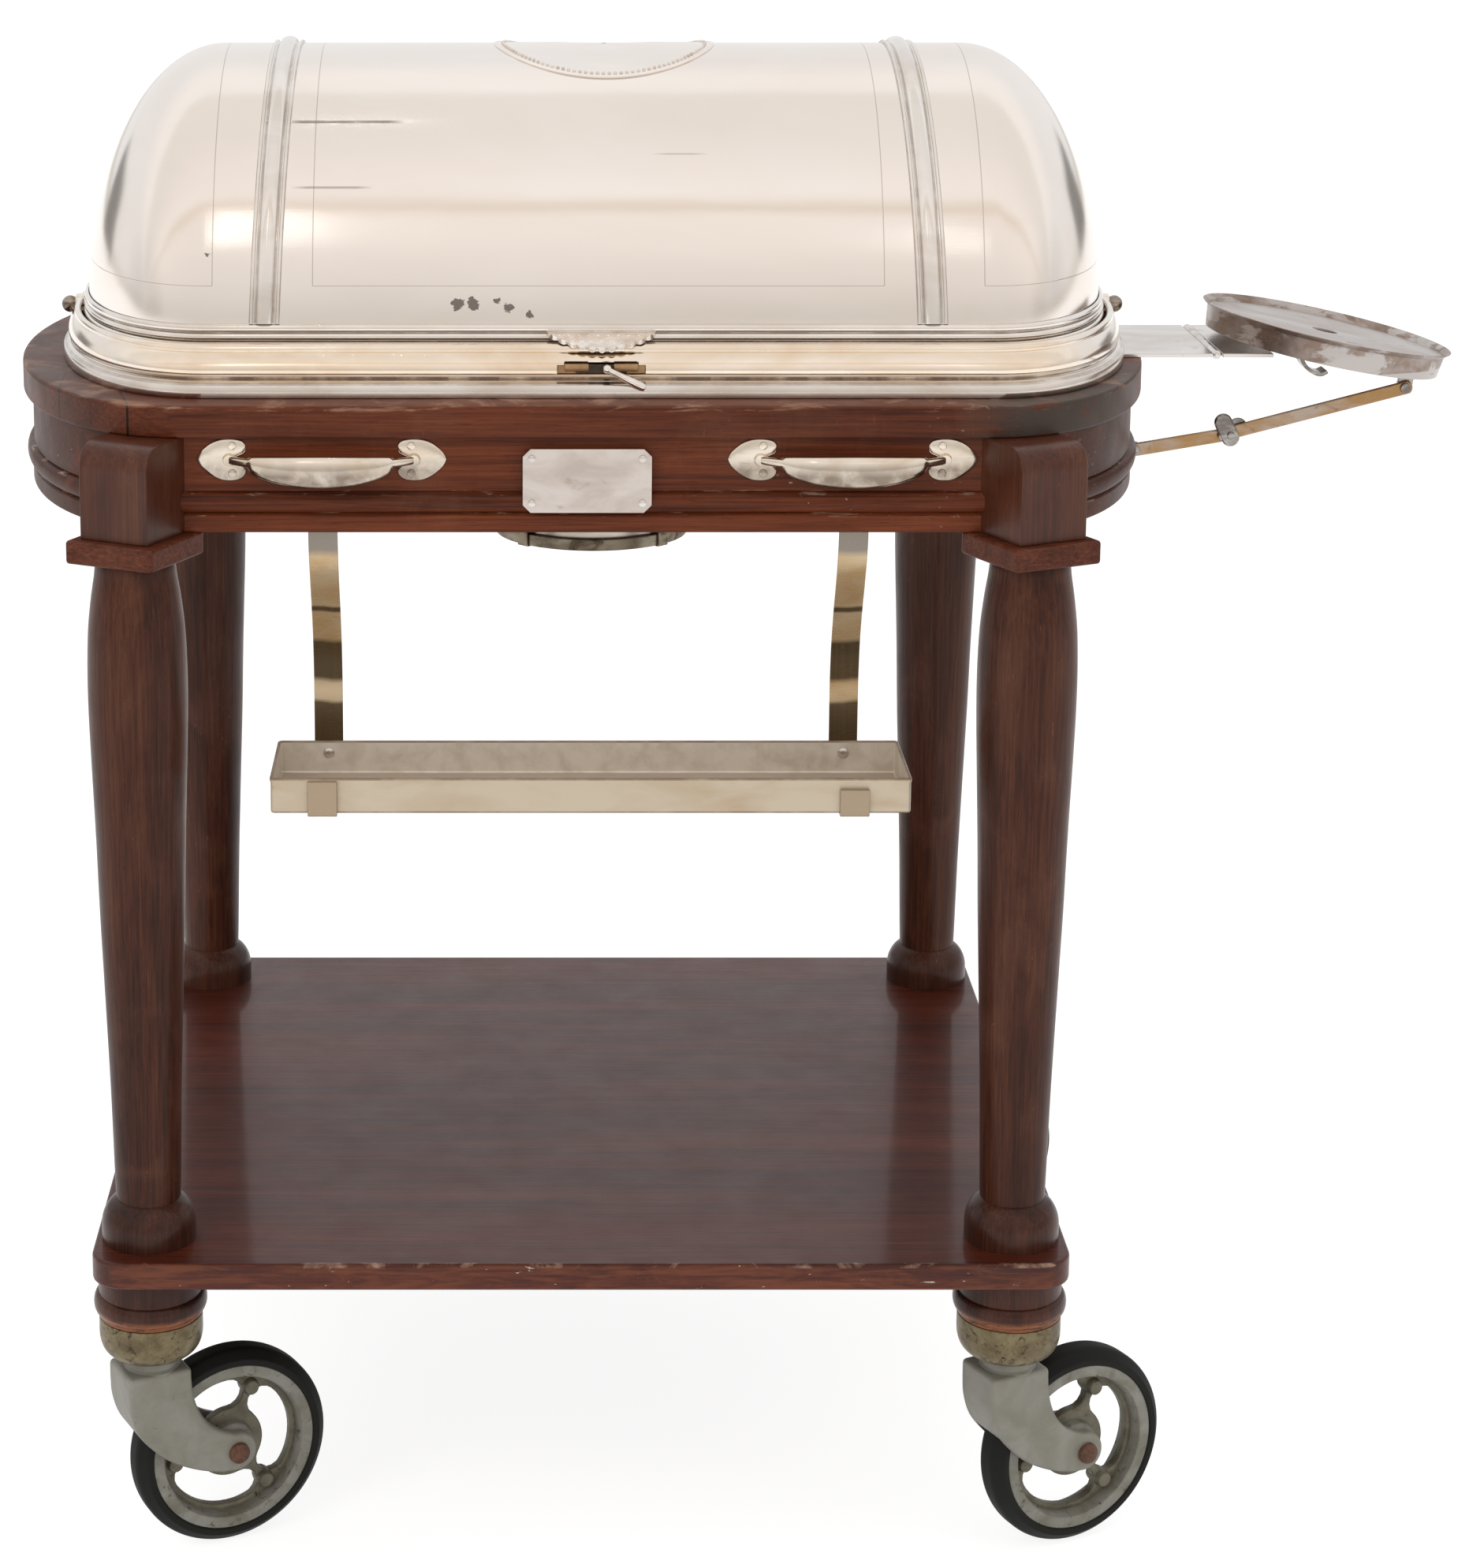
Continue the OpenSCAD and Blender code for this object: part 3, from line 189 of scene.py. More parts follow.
class Finish:
    """A material in the making, and the name of its slot. x, y and z are metres from the middle of the legs."""
    def __init__(self, name, slot):
        self.material, self.slot = bpy.data.materials.new(name), slot
        self.material.use_nodes = True
        self.tree = self.material.node_tree
        self.shader = self.tree.nodes["Principled BSDF"]
        self.place = Signal(self.tree, add(self.tree, "TexCoord").outputs["Object"])
        from_middle = self.place.node("VectorMath", {0: self.place, 1: tuple(ORIGIN)}, operation="SUBTRACT")
        parts = add(self.tree, "SeparateXYZ", {"Vector": from_middle}).outputs
        self.x, self.y, self.z = (Signal(self.tree, parts[k]) for k in "XYZ")

    def grain(self, size, detail=6.0, roughness=0.55, twist=0.0, shift=(0, 0, 0)):
        """Noise whose blobs are size metres long, one number or (x, y, z)."""
        scale = 1 / (np.ones(3) * size)
        coords = self.place.node("Mapping", {"Vector": self.place, "Scale": scale.tolist(), "Location": shift})
        return coords.node("TexNoise", {"Vector": coords, "Scale": 1.0, "Detail": detail, "Roughness": roughness,
                                        "Distortion": twist}, "Fac")

    def bump(self, height, distance, strength, under=None, **settings):
        plugs = {"Height": height, "Distance": distance, "Strength": strength}
        return height.node("Bump", plugs if under is None else {**plugs, "Normal": under}, **settings)

    def plug(self, plugs):
        """Joins signals to the shader's own sockets, and sets numbers there."""
        for key, value in plugs.items():
            if isinstance(value, Signal):
                self.tree.links.new(value.socket, self.shader.inputs[key])
            else:
                self.shader.inputs[key].default_value = value

    def paint(self, mask, shade):
        """Lays a shade over the colour so far, as strongly as the mask says."""
        self.colour = mix(mask, self.colour, shade)
        self.plug({"Base Color": self.colour})

# %% [markdown]
# ## Mahogany
# The stand is mahogany under old French polish: a warm red brown with fine straight grain,
# short dark pores, and pale scratches and knocks where people and plates have rubbed it.
# Grain is noise drawn out along the plank, 2 mm wide streaks inside 30 mm bands; pores are a
# finer noise, 1 mm wide and 14 mm long, cut off high. Old polish is thin, so the wood keeps
# only a low sheen, and the shelf, which is wiped most, has a clear coat that mirrors the legs.

# %% Mahogany
def mahogany(name, slot, along, dark, middle, light, coat=0.05, dull=0.45, worn=0.6, specks=0.0, sheen=0.14,
             coat_rough=0.2):
    """Polished mahogany whose grain runs along axis 0, 1 or 2."""
    wood = Finish(name, slot)
    def stretched(across, length):
        return [length if k == along else across for k in range(3)]
    streaks = wood.grain(stretched(0.0022, 0.09), 5, 0.6, 0.4)
    bands = wood.grain(stretched(0.03, 0.6), 3, 0.5, 0.8)
    pores = wood.grain(stretched(0.0011, 0.014), 2, 0.5).step(0.60, 0.70)
    wood.colour = (bands * 0.45 + streaks * 0.55).ramp((0.34, dark), (0.5, middle), (0.66, light))
    wood.paint(pores * 0.45, dark)
    # Old knocks: thin pale scratches, and larger rubbed patches where the stain has gone
    scratch = wood.grain((0.0016, 0.004, 0.011), 3, 0.6, 1.5, (3, 1, 2)).step(0.67, 0.71)
    patch = wood.grain((0.05, 0.05, 0.09), 4, 0.6, 0.6, (7, 3, 5)).step(0.50, 0.66)
    wood.paint(scratch * patch * (0.8 * worn), "#A36A48")
    wood.paint(patch * (0.2 * worn), "#7A5240")
    if specks:
        # Flecks of white paint, a millimetre or two across, thickest at the front right corner
        dots = wood.grain((0.0045, 0.0045, 0.003), 2, 0.4, 0, (1, 9, 4)).step(0.70, 0.72)
        corner = wood.x.between(0.25, 0.40, 0.03) * wood.y.between(-0.40, -0.16, 0.03)
        where = corner * 0.35 + wood.grain((0.14, 0.14, 0.06), 2, 0.5, 0, (2, 2, 8)).ramp((0.66, 0.0), (0.74, 0.6))
        wood.paint(dots * where * specks, "#C9BFB8")
    uneven = wood.grain(0.04, 4, 0.6)
    wood.plug({"Roughness": uneven * 0.30 + (dull - 0.15), "Normal": wood.bump(pores * -0.6 + streaks * 0.5, 0.00025, 0.35),
               "Coat Normal": wood.bump(uneven, 0.0006, 0.15), "Specular IOR Level": sheen, "Coat Weight": coat,
               "Coat Roughness": coat_rough})
    return wood

def rubbed(finish, where, shade, amount, size=(0.012, 0.012, 0.004), cut=(0.44, 0.56)):
    """Ragged patches of a shade, where a mask says: mostly stain rubbed off, and painted shade on the apron's ends."""
    finish.paint(finish.grain(size, 5, 0.65, 0.5, (6, 2, 7)).step(*cut) * where * amount, shade)

WOOD_X = mahogany("french_polished_mahogany_lengthwise", "mahogany", 0, "#35160A", "#5E2D18", "#763C22", specks=0.7)
WOOD_SHELF = mahogany("french_polished_mahogany_shelf", "mahogany", 0, "#2C0F08", "#441A0E", "#582616",
                      coat=0.30, dull=0.42, worn=0.2, coat_rough=0.1, sheen=0.15)
WOOD_EDGE = mahogany("worn_mahogany_caps", "mahogany", 0, "#35180D", "#52291B", "#6C3D2A", worn=0.9)
WOOD_LEG = mahogany("turned_mahogany", "turned_mahogany", 2, "#26120A", "#3F2014", "#53301F", coat=0.10, dull=0.4, worn=0.7)
WOOD_BLOCK = mahogany("polished_mahogany_blocks", "turned_mahogany", 2, "#32170C", "#452113", "#54301E",
                      coat=0.3, dull=0.36, worn=0.5, sheen=0.18, coat_rough=0.28)
WOOD_FOOT = mahogany("dark_turned_mahogany", "turned_mahogany", 2, "#21100A", "#381B11", "#4A291A", coat=0.2, dull=0.36)

# The foot is rubbed to bare orange wood under its bead, and the shelf along its front edge
x, y, z = WOOD_SHELF.x, WOOD_SHELF.y, WOOD_SHELF.z
rubbed(WOOD_FOOT, WOOD_FOOT.z.between(0.190, 0.2005), "#8E5634", 0.8, cut=(0.36, 0.52))
rubbed(WOOD_SHELF, z.between(0.20, 0.2515, 0.003) * y.between(-0.40, -0.3175, 0.002), "#7E4528", 0.45,
       (0.05, 0.05, 0.008), (0.44, 0.62))
rubbed(WOOD_SHELF, y.between(-0.40, -0.3185, 0.001), "#CFC7BE", 0.75, (0.013, 0.013, 0.004), (0.685, 0.70))
rubbed(WOOD_SHELF, z.between(0.2495, 0.26, 0.001) * y.between(-0.40, -0.3165, 0.001), "#A58672", 0.7, 0.05, (0.50, 0.60))
# The apron's ends are darkened with painted shade, where the rail falls dark towards each end; the moulding's upper
# edges are scuffed pale
x, z = WOOD_X.x, WOOD_X.z
rubbed(WOOD_X, 1.0 - x.between(-0.325, 0.331, 0.05), "#1E0E09", 0.62, 0.06, (0.20, 0.45))
rubbed(WOOD_X, z.between(0.7905, 0.7935, 0.001) | z.between(0.8065, 0.8095, 0.001), "#B59A86", 0.6,
       (0.035, 0.035, 0.004), (0.57, 0.66))
print("mahogany finishes:", [wood.material.name for wood in (WOOD_X, WOOD_SHELF, WOOD_EDGE, WOOD_LEG, WOOD_BLOCK, WOOD_FOOT)])

# %% [markdown]
# ## The board's own marks
# The oval board is built up from pieces: at the left end two joints have opened, one as a
# fine line across the top and one as a dark crack that runs over the edge. At the front right
# a greyish patch shows where something hot or wet has stood.

# %% Board
BOARD = mahogany("french_polished_mahogany_board", "mahogany", 0, "#30140A", "#532817", "#693620", specks=0.5, coat=0.06)
x, y, z = BOARD.x, BOARD.y, BOARD.z
crack = (y * 0.22 + x).near(-0.3775, 0.0008) * y.between(-0.40, -0.19)
joint = (y * 0.05 + x).near(-0.386, 0.0005) * y.between(-0.25, 0.05)
corner = x.between(0.285, 0.40, 0.05) * y.between(-0.40, -0.13, 0.05)
BOARD.paint(BOARD.grain((0.05, 0.03, 0.02), 5, 0.6, 0.5, (5, 5, 1)).step(0.34, 0.46) * corner * 0.9, "#413B35")
BOARD.paint(crack | joint, "#120806")
rubbed(BOARD, z.between(0.8675, 0.8715, 0.0015), "#A5806A", 0.6, (0.045, 0.045, 0.006), (0.52, 0.64))
# Both ends of the board are darker and greyer
rubbed(BOARD, 1.0 - x.between(-0.34, 0.34, 0.05), "#3A2A22", 0.55, (0.06, 0.06, 0.03), (0.34, 0.56))

# %% [markdown]
# ## Silver plate
# Silver plate is a mirror gone soft: a white metal with a faint pink tint, which is a painted
# reflection of a warm room, and a yellow-brown film of tarnish, rubbed clean in places, with
# hairline scratches and shallow dents that bend the reflections. The film colours the metal, the
# scratches roughen it, and the dents are a bump 90 to 160 mm long and up to 4 mm deep, turned
# down by each metal's own strength.

# %% Silver and other plated metals
def plate(name, slot, clean, film, stain, rough, film_amount, stain_amount, dents, patch, seed):
    """A plated metal: clean colour, film of tarnish, darker stain, and noises moved on by the seed."""
    metal = Finish(name, slot)
    cloud = metal.grain((patch * 1.5, patch, patch * 0.6), 5, 0.55, 0.6, (seed, seed + 2, seed + 4))
    stained = metal.grain((0.022, 0.016, 0.012), 6, 0.62, 0.8, (seed + 8, seed, seed + 1)).step(*stain_amount)
    metal.colour = mix(cloud.step(*film_amount), clean, film)
    metal.paint(stained * 0.8, stain)
    hair = metal.grain((0.03, 0.0009, 0.0009), 4, 0.6, 0.3, (seed + 3, 0, 0))
    dent = metal.grain((0.16, 0.09, 0.09), 2, 0.45, 0.3, (seed + 5, 1, 1))
    metal.relief = metal.bump(hair, 0.00002, 0.5, metal.bump(dent, 0.004, dents))
    metal.plug({"Roughness": cloud * 0.10 + stained * 0.25 + hair * 0.12 + (rough - 0.11), "Normal": metal.relief,
                "Metallic": 1.0})
    return metal

# Each row: name, slot, clean metal, film, stain, roughness, where film and stain begin and are full, dents, patch, seed
# The warm pink of the silver's clean metal and film is a painted reflection of a warm room
SILVER, SILVER_TRIM, GILT, FLANGE_METAL, PULL_METAL, STAND_METAL, DISH_METAL, BAR_METAL, CATCH_METAL, TROUGH_METAL, \
    LABEL_METAL, WELL_METAL, BRIGHT, RING_METAL, PIN_METAL, STRAP_METAL = [plate(*row) for row in (
        ("silver_plate_dome", "silver_plate", "#F5EDE6", "#F0E6DD", "#B4A69A", 0.15, (0.36, 0.70), (0.74, 0.88), 0.24, 0.16, 0),
        ("silver_plate_mouldings", "silver_plate", "#ECE6E0", "#DCD2C8", "#9C9084", 0.15, (0.44, 0.72), (0.70, 0.88), 0.10, 0.06, 3),
        ("worn_plate_rim", "gilt_rim", "#F6E9D9", "#E6CDB0", "#A08568", 0.15, (0.38, 0.70), (0.72, 0.88), 0.15, 0.08, 7),
        ("worn_plate_flange", "gilt_rim", "#E4DCD4", "#D2C5B9", "#98887A", 0.2, (0.38, 0.66), (0.66, 0.84), 0.15, 0.07, 9),
        ("silver_plate_pulls", "silver_plate", "#EADFD1", "#D8C7B1", "#7E684D", 0.18, (0.42, 0.70), (0.66, 0.84), 0.1, 0.03, 11),
        ("dull_plate_stand", "dull_silver", "#DCD7D3", "#C9BFB6", "#7A6A5E", 0.24, (0.42, 0.70), (0.62, 0.80), 0.1, 0.05, 15),
        ("tarnished_plate_dish", "dull_silver", "#BBB5B1", "#ADA29C", "#5E5048", 0.34, (0.42, 0.62), (0.60, 0.76), 0.12, 0.07, 17),
        ("tarnished_stay_bars", "dull_silver", "#AB9A8B", "#A38058", "#5A4838", 0.28, (0.42, 0.60), (0.60, 0.78), 0.0, 0.03, 41),
        ("worn_stay_catch", "silver_plate", "#A8A49E", "#78706A", "#3A332C", 0.2, (0.40, 0.60), (0.58, 0.76), 0.0, 0.012, 43),
        ("worn_plate_trough", "brassy_sheet", "#C2B49F", "#B09A7E", "#78604A", 0.36, (0.44, 0.76), (0.66, 0.84), 0.1, 0.06, 19),
        ("dull_plate_label", "silver_plate", "#D6CCC5", "#C2B6AD", "#988A80", 0.42, (0.40, 0.66), (0.62, 0.80), 0.0, 0.03, 27),
        ("silver_plate_inside", "inner_silver", "#CFC7BE", "#A99C8C", "#5E5448", 0.3, (0.40, 0.66), (0.62, 0.80), 0.1, 0.06, 31),
        ("bright_screw", "silver_plate", "#F2ECE6", "#DCD0C4", "#8A7C70", 0.16, (0.40, 0.66), (0.62, 0.80), 0.0, 0.01, 35),
        ("sooty_ring", "dull_silver", "#8E8474", "#6E6250", "#3A3024", 0.34, (0.40, 0.66), (0.50, 0.68), 0.0, 0.03, 47),
        ("dark_pivot_pins", "silver_plate", "#A79C90", "#7A6C60", "#3A322A", 0.22, (0.40, 0.66), (0.50, 0.70), 0.0, 0.006, 51),
        ("rubbed_brassy_strap", "brassy_sheet", "#CDB795", "#BC9A6A", "#7B5E3E", 0.26, (0.40, 0.66), (0.66, 0.84), 0.1, 0.05, 23))]
# A trough kept for knives is dulled all over: part of its light is scattered and no longer mirrored
TROUGH_METAL.plug({"Metallic": 0.35})
DISH_METAL.plug({"Metallic": 0.75})

# %% [markdown]
# ## Dirt, wear and painted shade on the metals
# Polish dries in the fine grooves of a moulding, and hands rub the same edges for years. Some
# marks are painted light and shade: dark lines in the grooves and seams of the border, bands,
# rim and flange, partly old polish and partly painted shade; a painted reflection of the wood
# on the lower half of a pull; and painted light inside the trough. So each mark is tied to its
# place: the grooves of the border and bands, the lower half of a pull, the skirt of the dish,
# the folded edges of the trough. Noise with 20 mm blobs breaks every mark up.

# %% Dirt, painted shade and painted light on the metals
def dirt_wear_and_painted_light(finish, mask, shade, amount):
    """Lays a shade where a mask says, thinner in places: dirt and wear, and also painted shade and painted light."""
    finish.paint(mask * finish.grain(0.02, 4, 0.6, 0.3, (3, 8, 2)).ramp((0.34, 0.45), (0.58, 1.0)) * amount, shade)

# Dark lines in the grooves of the border, 6 mm apart, and of the bands, 7 mm and 10 mm each side of their leaning
# middle line: old polish and painted shade
x, z = SILVER_TRIM.x - 0.012, SILVER_TRIM.z - 0.9
away = abs(abs(x) + z * 0.0398 - 0.2405)
edges = away.near(0.0068, 0.0007) | away.near(0.0108, 0.0006)
reeds = either([z.near(at, 0.0006) for at in (0.0061, 0.0121, 0.0005)] + [edges * z.between(0.019, 1.0, 0.001)])
dirt_wear_and_painted_light(SILVER_TRIM, reeds, "#6A5F55", 0.45)
# Round the dish's rim and skirt, 88.5 mm from its middle and beyond, the plate has gone in ragged brown patches
x, y, blobs = (DISH_METAL.x - 0.579) * 1.02, DISH_METAL.y + 0.010, np.array([0.05, 0.05, 0.022])
ragged = DISH_METAL.grain(blobs, 6, 0.62, 0.6, (-(ORIGIN + [0.012, 0, 0.9]) / blobs).tolist()).step(0.46, 0.50)
dirt_wear_and_painted_light(DISH_METAL, (x * x + y * y).math("GREATER_THAN", 0.0885 ** 2) * ragged, "#7E6656", 0.85)
# Below its middle a pull is painted darker brown towards the lower edges of leaf and grip: a painted reflection of the
# wood below it
dirt_wear_and_painted_light(PULL_METAL, PULL_METAL.z.between(0.80, 0.8295, 0.010) * 0.8, "#574433", 0.95)
# Painted shade: a dark line where the band meets the flange, and fainter lines at the flange's step and where it sits
# on the board
dirt_wear_and_painted_light(GILT, GILT.z.near(0.8840, 0.0012), "#5A4434", 0.85)
dirt_wear_and_painted_light(FLANGE_METAL, FLANGE_METAL.z.near(0.8812, 0.0009) | FLANGE_METAL.z.near(0.8716, 0.0008), "#66564A", 0.4)
# The rim's ends have been polished white: the warm tone stays along the straight front and back
dirt_wear_and_painted_light(GILT, 1.0 - GILT.x.between(-0.323, 0.347, 0.05), "#EDE8E2", 0.8)
# The trough is painted paler inside: painted light on its shaded inner walls; its folded edges are rubbed brown
y, z = TROUGH_METAL.y, TROUGH_METAL.z
dirt_wear_and_painted_light(TROUGH_METAL, y.between(-0.2826, -0.1902, 0.0004) * z.between(0.5800, 0.6045, 0.0004), "#E6DCCE", 0.9)
dirt_wear_and_painted_light(TROUGH_METAL, z.near(0.6045, 0.0011) | z.near(0.5795, 0.0012), "#6E4F38", 0.65)

# %% [markdown]
# ## Lines engraved on the dome
# The barrel is laid out in panels by single engraved lines: one each side of the middle
# panel and one beyond each band, 45 mm above the pivot along the bottom, all the way over to
# the back. A line is half a millimetre wide and holds dark polish. It is worked out from the
# place on the dome, so that it turns with it.

# %% Engraving, pits and dents
x, y, z = SILVER.x - 0.012, SILVER.y, SILVER.z - 0.9
across = abs(x)
sides = either([across.near(line, 0.0004) for line in (0.205, 0.277)])
panels = across.between(-1.0, 0.205, 0.0002) | across.between(0.277, 1.0, 0.0002)
engraved = sides * z.between(0.045, 1.0, 0.0002) | z.near(0.045, 0.0004) * panels
SILVER.paint(engraved * 0.42, "#7A6C60")
# Six small black pits low on the front, where the plate has gone: each is a ragged blob 1 to 6 mm across
ragged = (SILVER.grain((0.006, 0.006, 0.004), 4, 0.7, 0.8, (1, 5, 3)) - 0.5) * 0.012
pits = []
for px, py, pz, wide in ((-0.2805, -0.1894, 0.0672, 0.0018), (-0.1012, -0.1983, 0.0326, 0.0045),
                         (-0.0899, -0.1983, 0.0322, 0.004), (-0.0725, -0.1978, 0.0353, 0.0012),
                         (-0.0644, -0.1987, 0.0298, 0.003), (-0.0492, -0.1996, 0.0250, 0.0025)):
    centre = tuple(ORIGIN + [0.012 + px, py, 0.9 + pz])
    away = SILVER.place.node("VectorMath", {0: SILVER.place, 1: centre}, "Value", operation="DISTANCE")
    pits.append((away + ragged).math("LESS_THAN", wide))
SILVER.paint(either(pits) * 0.8, "#4E463E")
# Three long dents, half a millimetre to a millimetre deep, lie along the barrel at the left: they are painted as thin
# dark lines, a painted reflection of the bent silver
front = y.between(-0.3, 0.0, 0.001)
dents = either([x.between(x0, x1, 0.012) * z.near(level, half) * front * deep for x0, x1, level, half, deep in (
    (-0.222, -0.146, 0.1553, 0.0010, 0.75), (-0.216, -0.168, 0.1122, 0.0009, 0.5), (0.045, 0.075, 0.1345, 0.0007, 0.3))])
SILVER.paint(dents, "#7C6E60")
SILVER.plug({"Normal": SILVER.bump(engraved, 0.0001, 0.6, SILVER.relief, invert=True)})

# %% [markdown]
# ## The straps' bands
# The trough hangs on two strips of brassy sheet. Each bend of a strip mirrors another part of
# the room, so light and dark bands follow each other down it: the dark bands are painted
# reflections, streaked lengthwise. The clip in front of the trough is dull and greyer.

# %% Straps
# The dark bands are painted reflections: streaked dark colour laid over the sheet at the heights of the darker bends
level = STRAP_METAL.z + (STRAP_METAL.grain((0.03, 0.4, 0.4), 1, 0.4, 0.2, (2, 2, 6)) * 0.006 - 0.003)
painted_reflection_bands = level.between(0.7078, 0.7122, 0.002) | level.between(0.6515, 0.6830) | level.between(0.55, 0.6350, 0.003)
streaked = mix(STRAP_METAL.grain((0.003, 0.1, 0.12), 3, 0.6, 0, (4, 2, 6)), "#2B2114", "#6B5638")
STRAP_METAL.paint(painted_reflection_bands * 0.92, streaked)
STRAP_METAL.paint(level.between(0.758, 0.90, 0.006), "#8F867C")
STRAP_METAL.paint(STRAP_METAL.y.between(-0.40, -0.2835, 0.001) * 0.9, "#A8957E")
STRAP_METAL.plug({"Metallic": 0.55})

# %% [markdown]
# ## Casters
# The forks and wheels are grey cast metal, once painted or bright and now dull, with dark
# spots of grease and a darker web in each wheel. The tyres are black rubber with dusty treads,
# and the axle bolts are rusty.
# Clouds of 6 to 30 mm and spots a third as large make the colour, and a grit of 1 to 2 mm
# the surface.

# %% Cast metal, rubber and rust
def rough_matter(name, slot, base, other, spot, size, rough, metallic=0.0, bump=0.0004, spot_from=0.62, fine=0.002):
    """A dull material with cloudy colour, dark spots and a grainy surface."""
    matter = Finish(name, slot)
    cloud = matter.grain(size, 5, 0.6, 0.4)
    matter.colour = cloud.ramp((0.36, base), (0.64, other))
    matter.paint(matter.grain(size * 0.35, 5, 0.65, 0.6, (4, 4, 4)).step(spot_from, spot_from + 0.12), spot)
    matter.plug({"Roughness": cloud * 0.2 + (rough - 0.1), "Normal": matter.bump(matter.grain(fine, 3, 0.6), bump, 0.5),
                 "Metallic": metallic})
    return matter

CAST = rough_matter("grey_cast_metal", "cast_iron", "#88877F", "#7A786C", "#58523F", 0.03, 0.5, 0.2, spot_from=0.66)
WHEEL_CAST = rough_matter("greasy_cast_wheel", "cast_iron", "#86857E", "#6C695C", "#48422F", 0.022, 0.5, 0.2, spot_from=0.58)
WEB_CAST = rough_matter("greasy_cast_web", "cast_iron", "#6E6A59", "#565142", "#38331F", 0.02, 0.5, 0.2, spot_from=0.58)
RUBBER = rough_matter("black_rubber", "tyre_rubber", "#0B0C0A", "#131411", "#2A2924", 0.03, 0.7, 0.0, 0.0002, 0.72)
RUST = rough_matter("rusty_bolt", "rusty_steel", "#6A4836", "#4B3328", "#2C211B", 0.006, 0.75, 0.1, 0.0005, fine=0.001)
CUP = rough_matter("grimy_plated_cup", "cup_metal", "#7C7053", "#5E523A", "#382D1D", 0.014, 0.4, 0.55, 0.0002, 0.54)
WINDOW = rough_matter("brown_window_plate", "dull_silver", "#967654", "#AE8C64", "#4A3726", 0.012, 0.4, 0.5, 0.0001)
DARK = rough_matter("dark_lever_barrel", "dull_silver", "#3A322A", "#54463A", "#1E1A16", 0.006, 0.4, 0.7, 0.0001)
RUBBER.plug({"Specular IOR Level": 0.25})

# %% [markdown]
# ## Surfaces
# Nearly every piece is one of four kinds: a grid of points that closes on itself, a profile
# turned round an axis, a profile carried round the oval outline of the top, or a flat
# outline with a thickness. Each helper works the points out as whole arrays. Sharp corners
# in a profile are rounded first, because real edges catch the light. A piece stands in for
# the CAD node of its own name, or for the nodes listed here.

# %% Pieces and grids
LEG_X, LEG_Y = 316, 270
CORNERS = {f"{fb}_{lr}": np.array([x, y, 0.0]) for fb, y in (("front", -LEG_Y), ("back", LEG_Y))
           for lr, x in (("left", -LEG_X), ("right", LEG_X))}
STANDS_FOR = {
    "apron": ["apron_front", "apron_back", "apron_left", "apron_right"], "leg_cap_front_left": ["leg_caps"],
    "leg_collar_front_left": ["leg_collars"], "foot_front_left": ["feet"], "caster_cup_front_left": ["caster_cups"],
    "well_flange": ["well_rim"], "pivot_pin_left": ["pivot_pins"], "dome_band_left": ["dome_bands"],
    "catch_plate_0": ["catch_keeper"], "pull_grip_left": ["pull_left"], "pull_grip_right": ["pull_right"],
    "pull_screw_left_0_0": ["small_screws"], **{f"wheel_rim_{tag}": [f"wheel_{tag}"] for tag in CORNERS}}

def finish_piece(name, points, faces, finish, body="frame", slot=None, angle=40):
    """Puts arrays into a mesh in place, merges what meets, turns faces outwards and shades it smooth."""
    mesh = bpy.data.meshes.new(name)
    mesh.from_pydata(world(points).tolist(), [], faces)
    work = bmesh.new()
    work.from_mesh(mesh)
    bmesh.ops.remove_doubles(work, verts=work.verts, dist=2e-6)
    bmesh.ops.dissolve_degenerate(work, edges=work.edges, dist=1e-6)
    bmesh.ops.recalc_face_normals(work, faces=work.faces)
    work.to_mesh(mesh)
    work.free()
    mesh.polygons.foreach_set("use_smooth", [True] * len(mesh.polygons))
    mesh.set_sharp_from_angle(angle=math.radians(angle))
    mesh.materials.append(finish.material)
    piece = put(name, mesh)
    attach(piece, body)
    replaces = STANDS_FOR.get(name, [name] if name in frame["nodes"] else [])
    if replaces:
        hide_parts(*replaces)
    return piece

def quads(rows, columns, close_rows=False, close_columns=False):
    """Corner numbers of the quads of a grid, as a list of four-number lists."""
    r, c = np.meshgrid(np.arange(rows if close_rows else rows - 1), np.arange(columns if close_columns else columns - 1),
                       indexing="ij")
    r2, c2 = (r + 1) % rows, (c + 1) % columns
    return np.stack([r * columns + c, r * columns + c2, r2 * columns + c2, r2 * columns + c], -1).reshape(-1, 4).tolist()

def grid_of(*parts):
    """Points from x, y and z arrays that fit together, as rows by columns by 3."""
    return np.stack(np.broadcast_arrays(*parts), -1)

def surface(name, grid, finish, body="frame", close_rows=False, close_columns=True, caps=False, **more):
    """A piece from a grid of points. caps closes the first and last row."""
    rows, columns = grid.shape[:2]
    faces = quads(rows, columns, close_rows, close_columns)
    if caps:
        faces += [list(range(columns)), [(rows - 1) * columns + k for k in reversed(range(columns))]]
    return finish_piece(name, grid.reshape(-1, 3), faces, finish, body, **more)

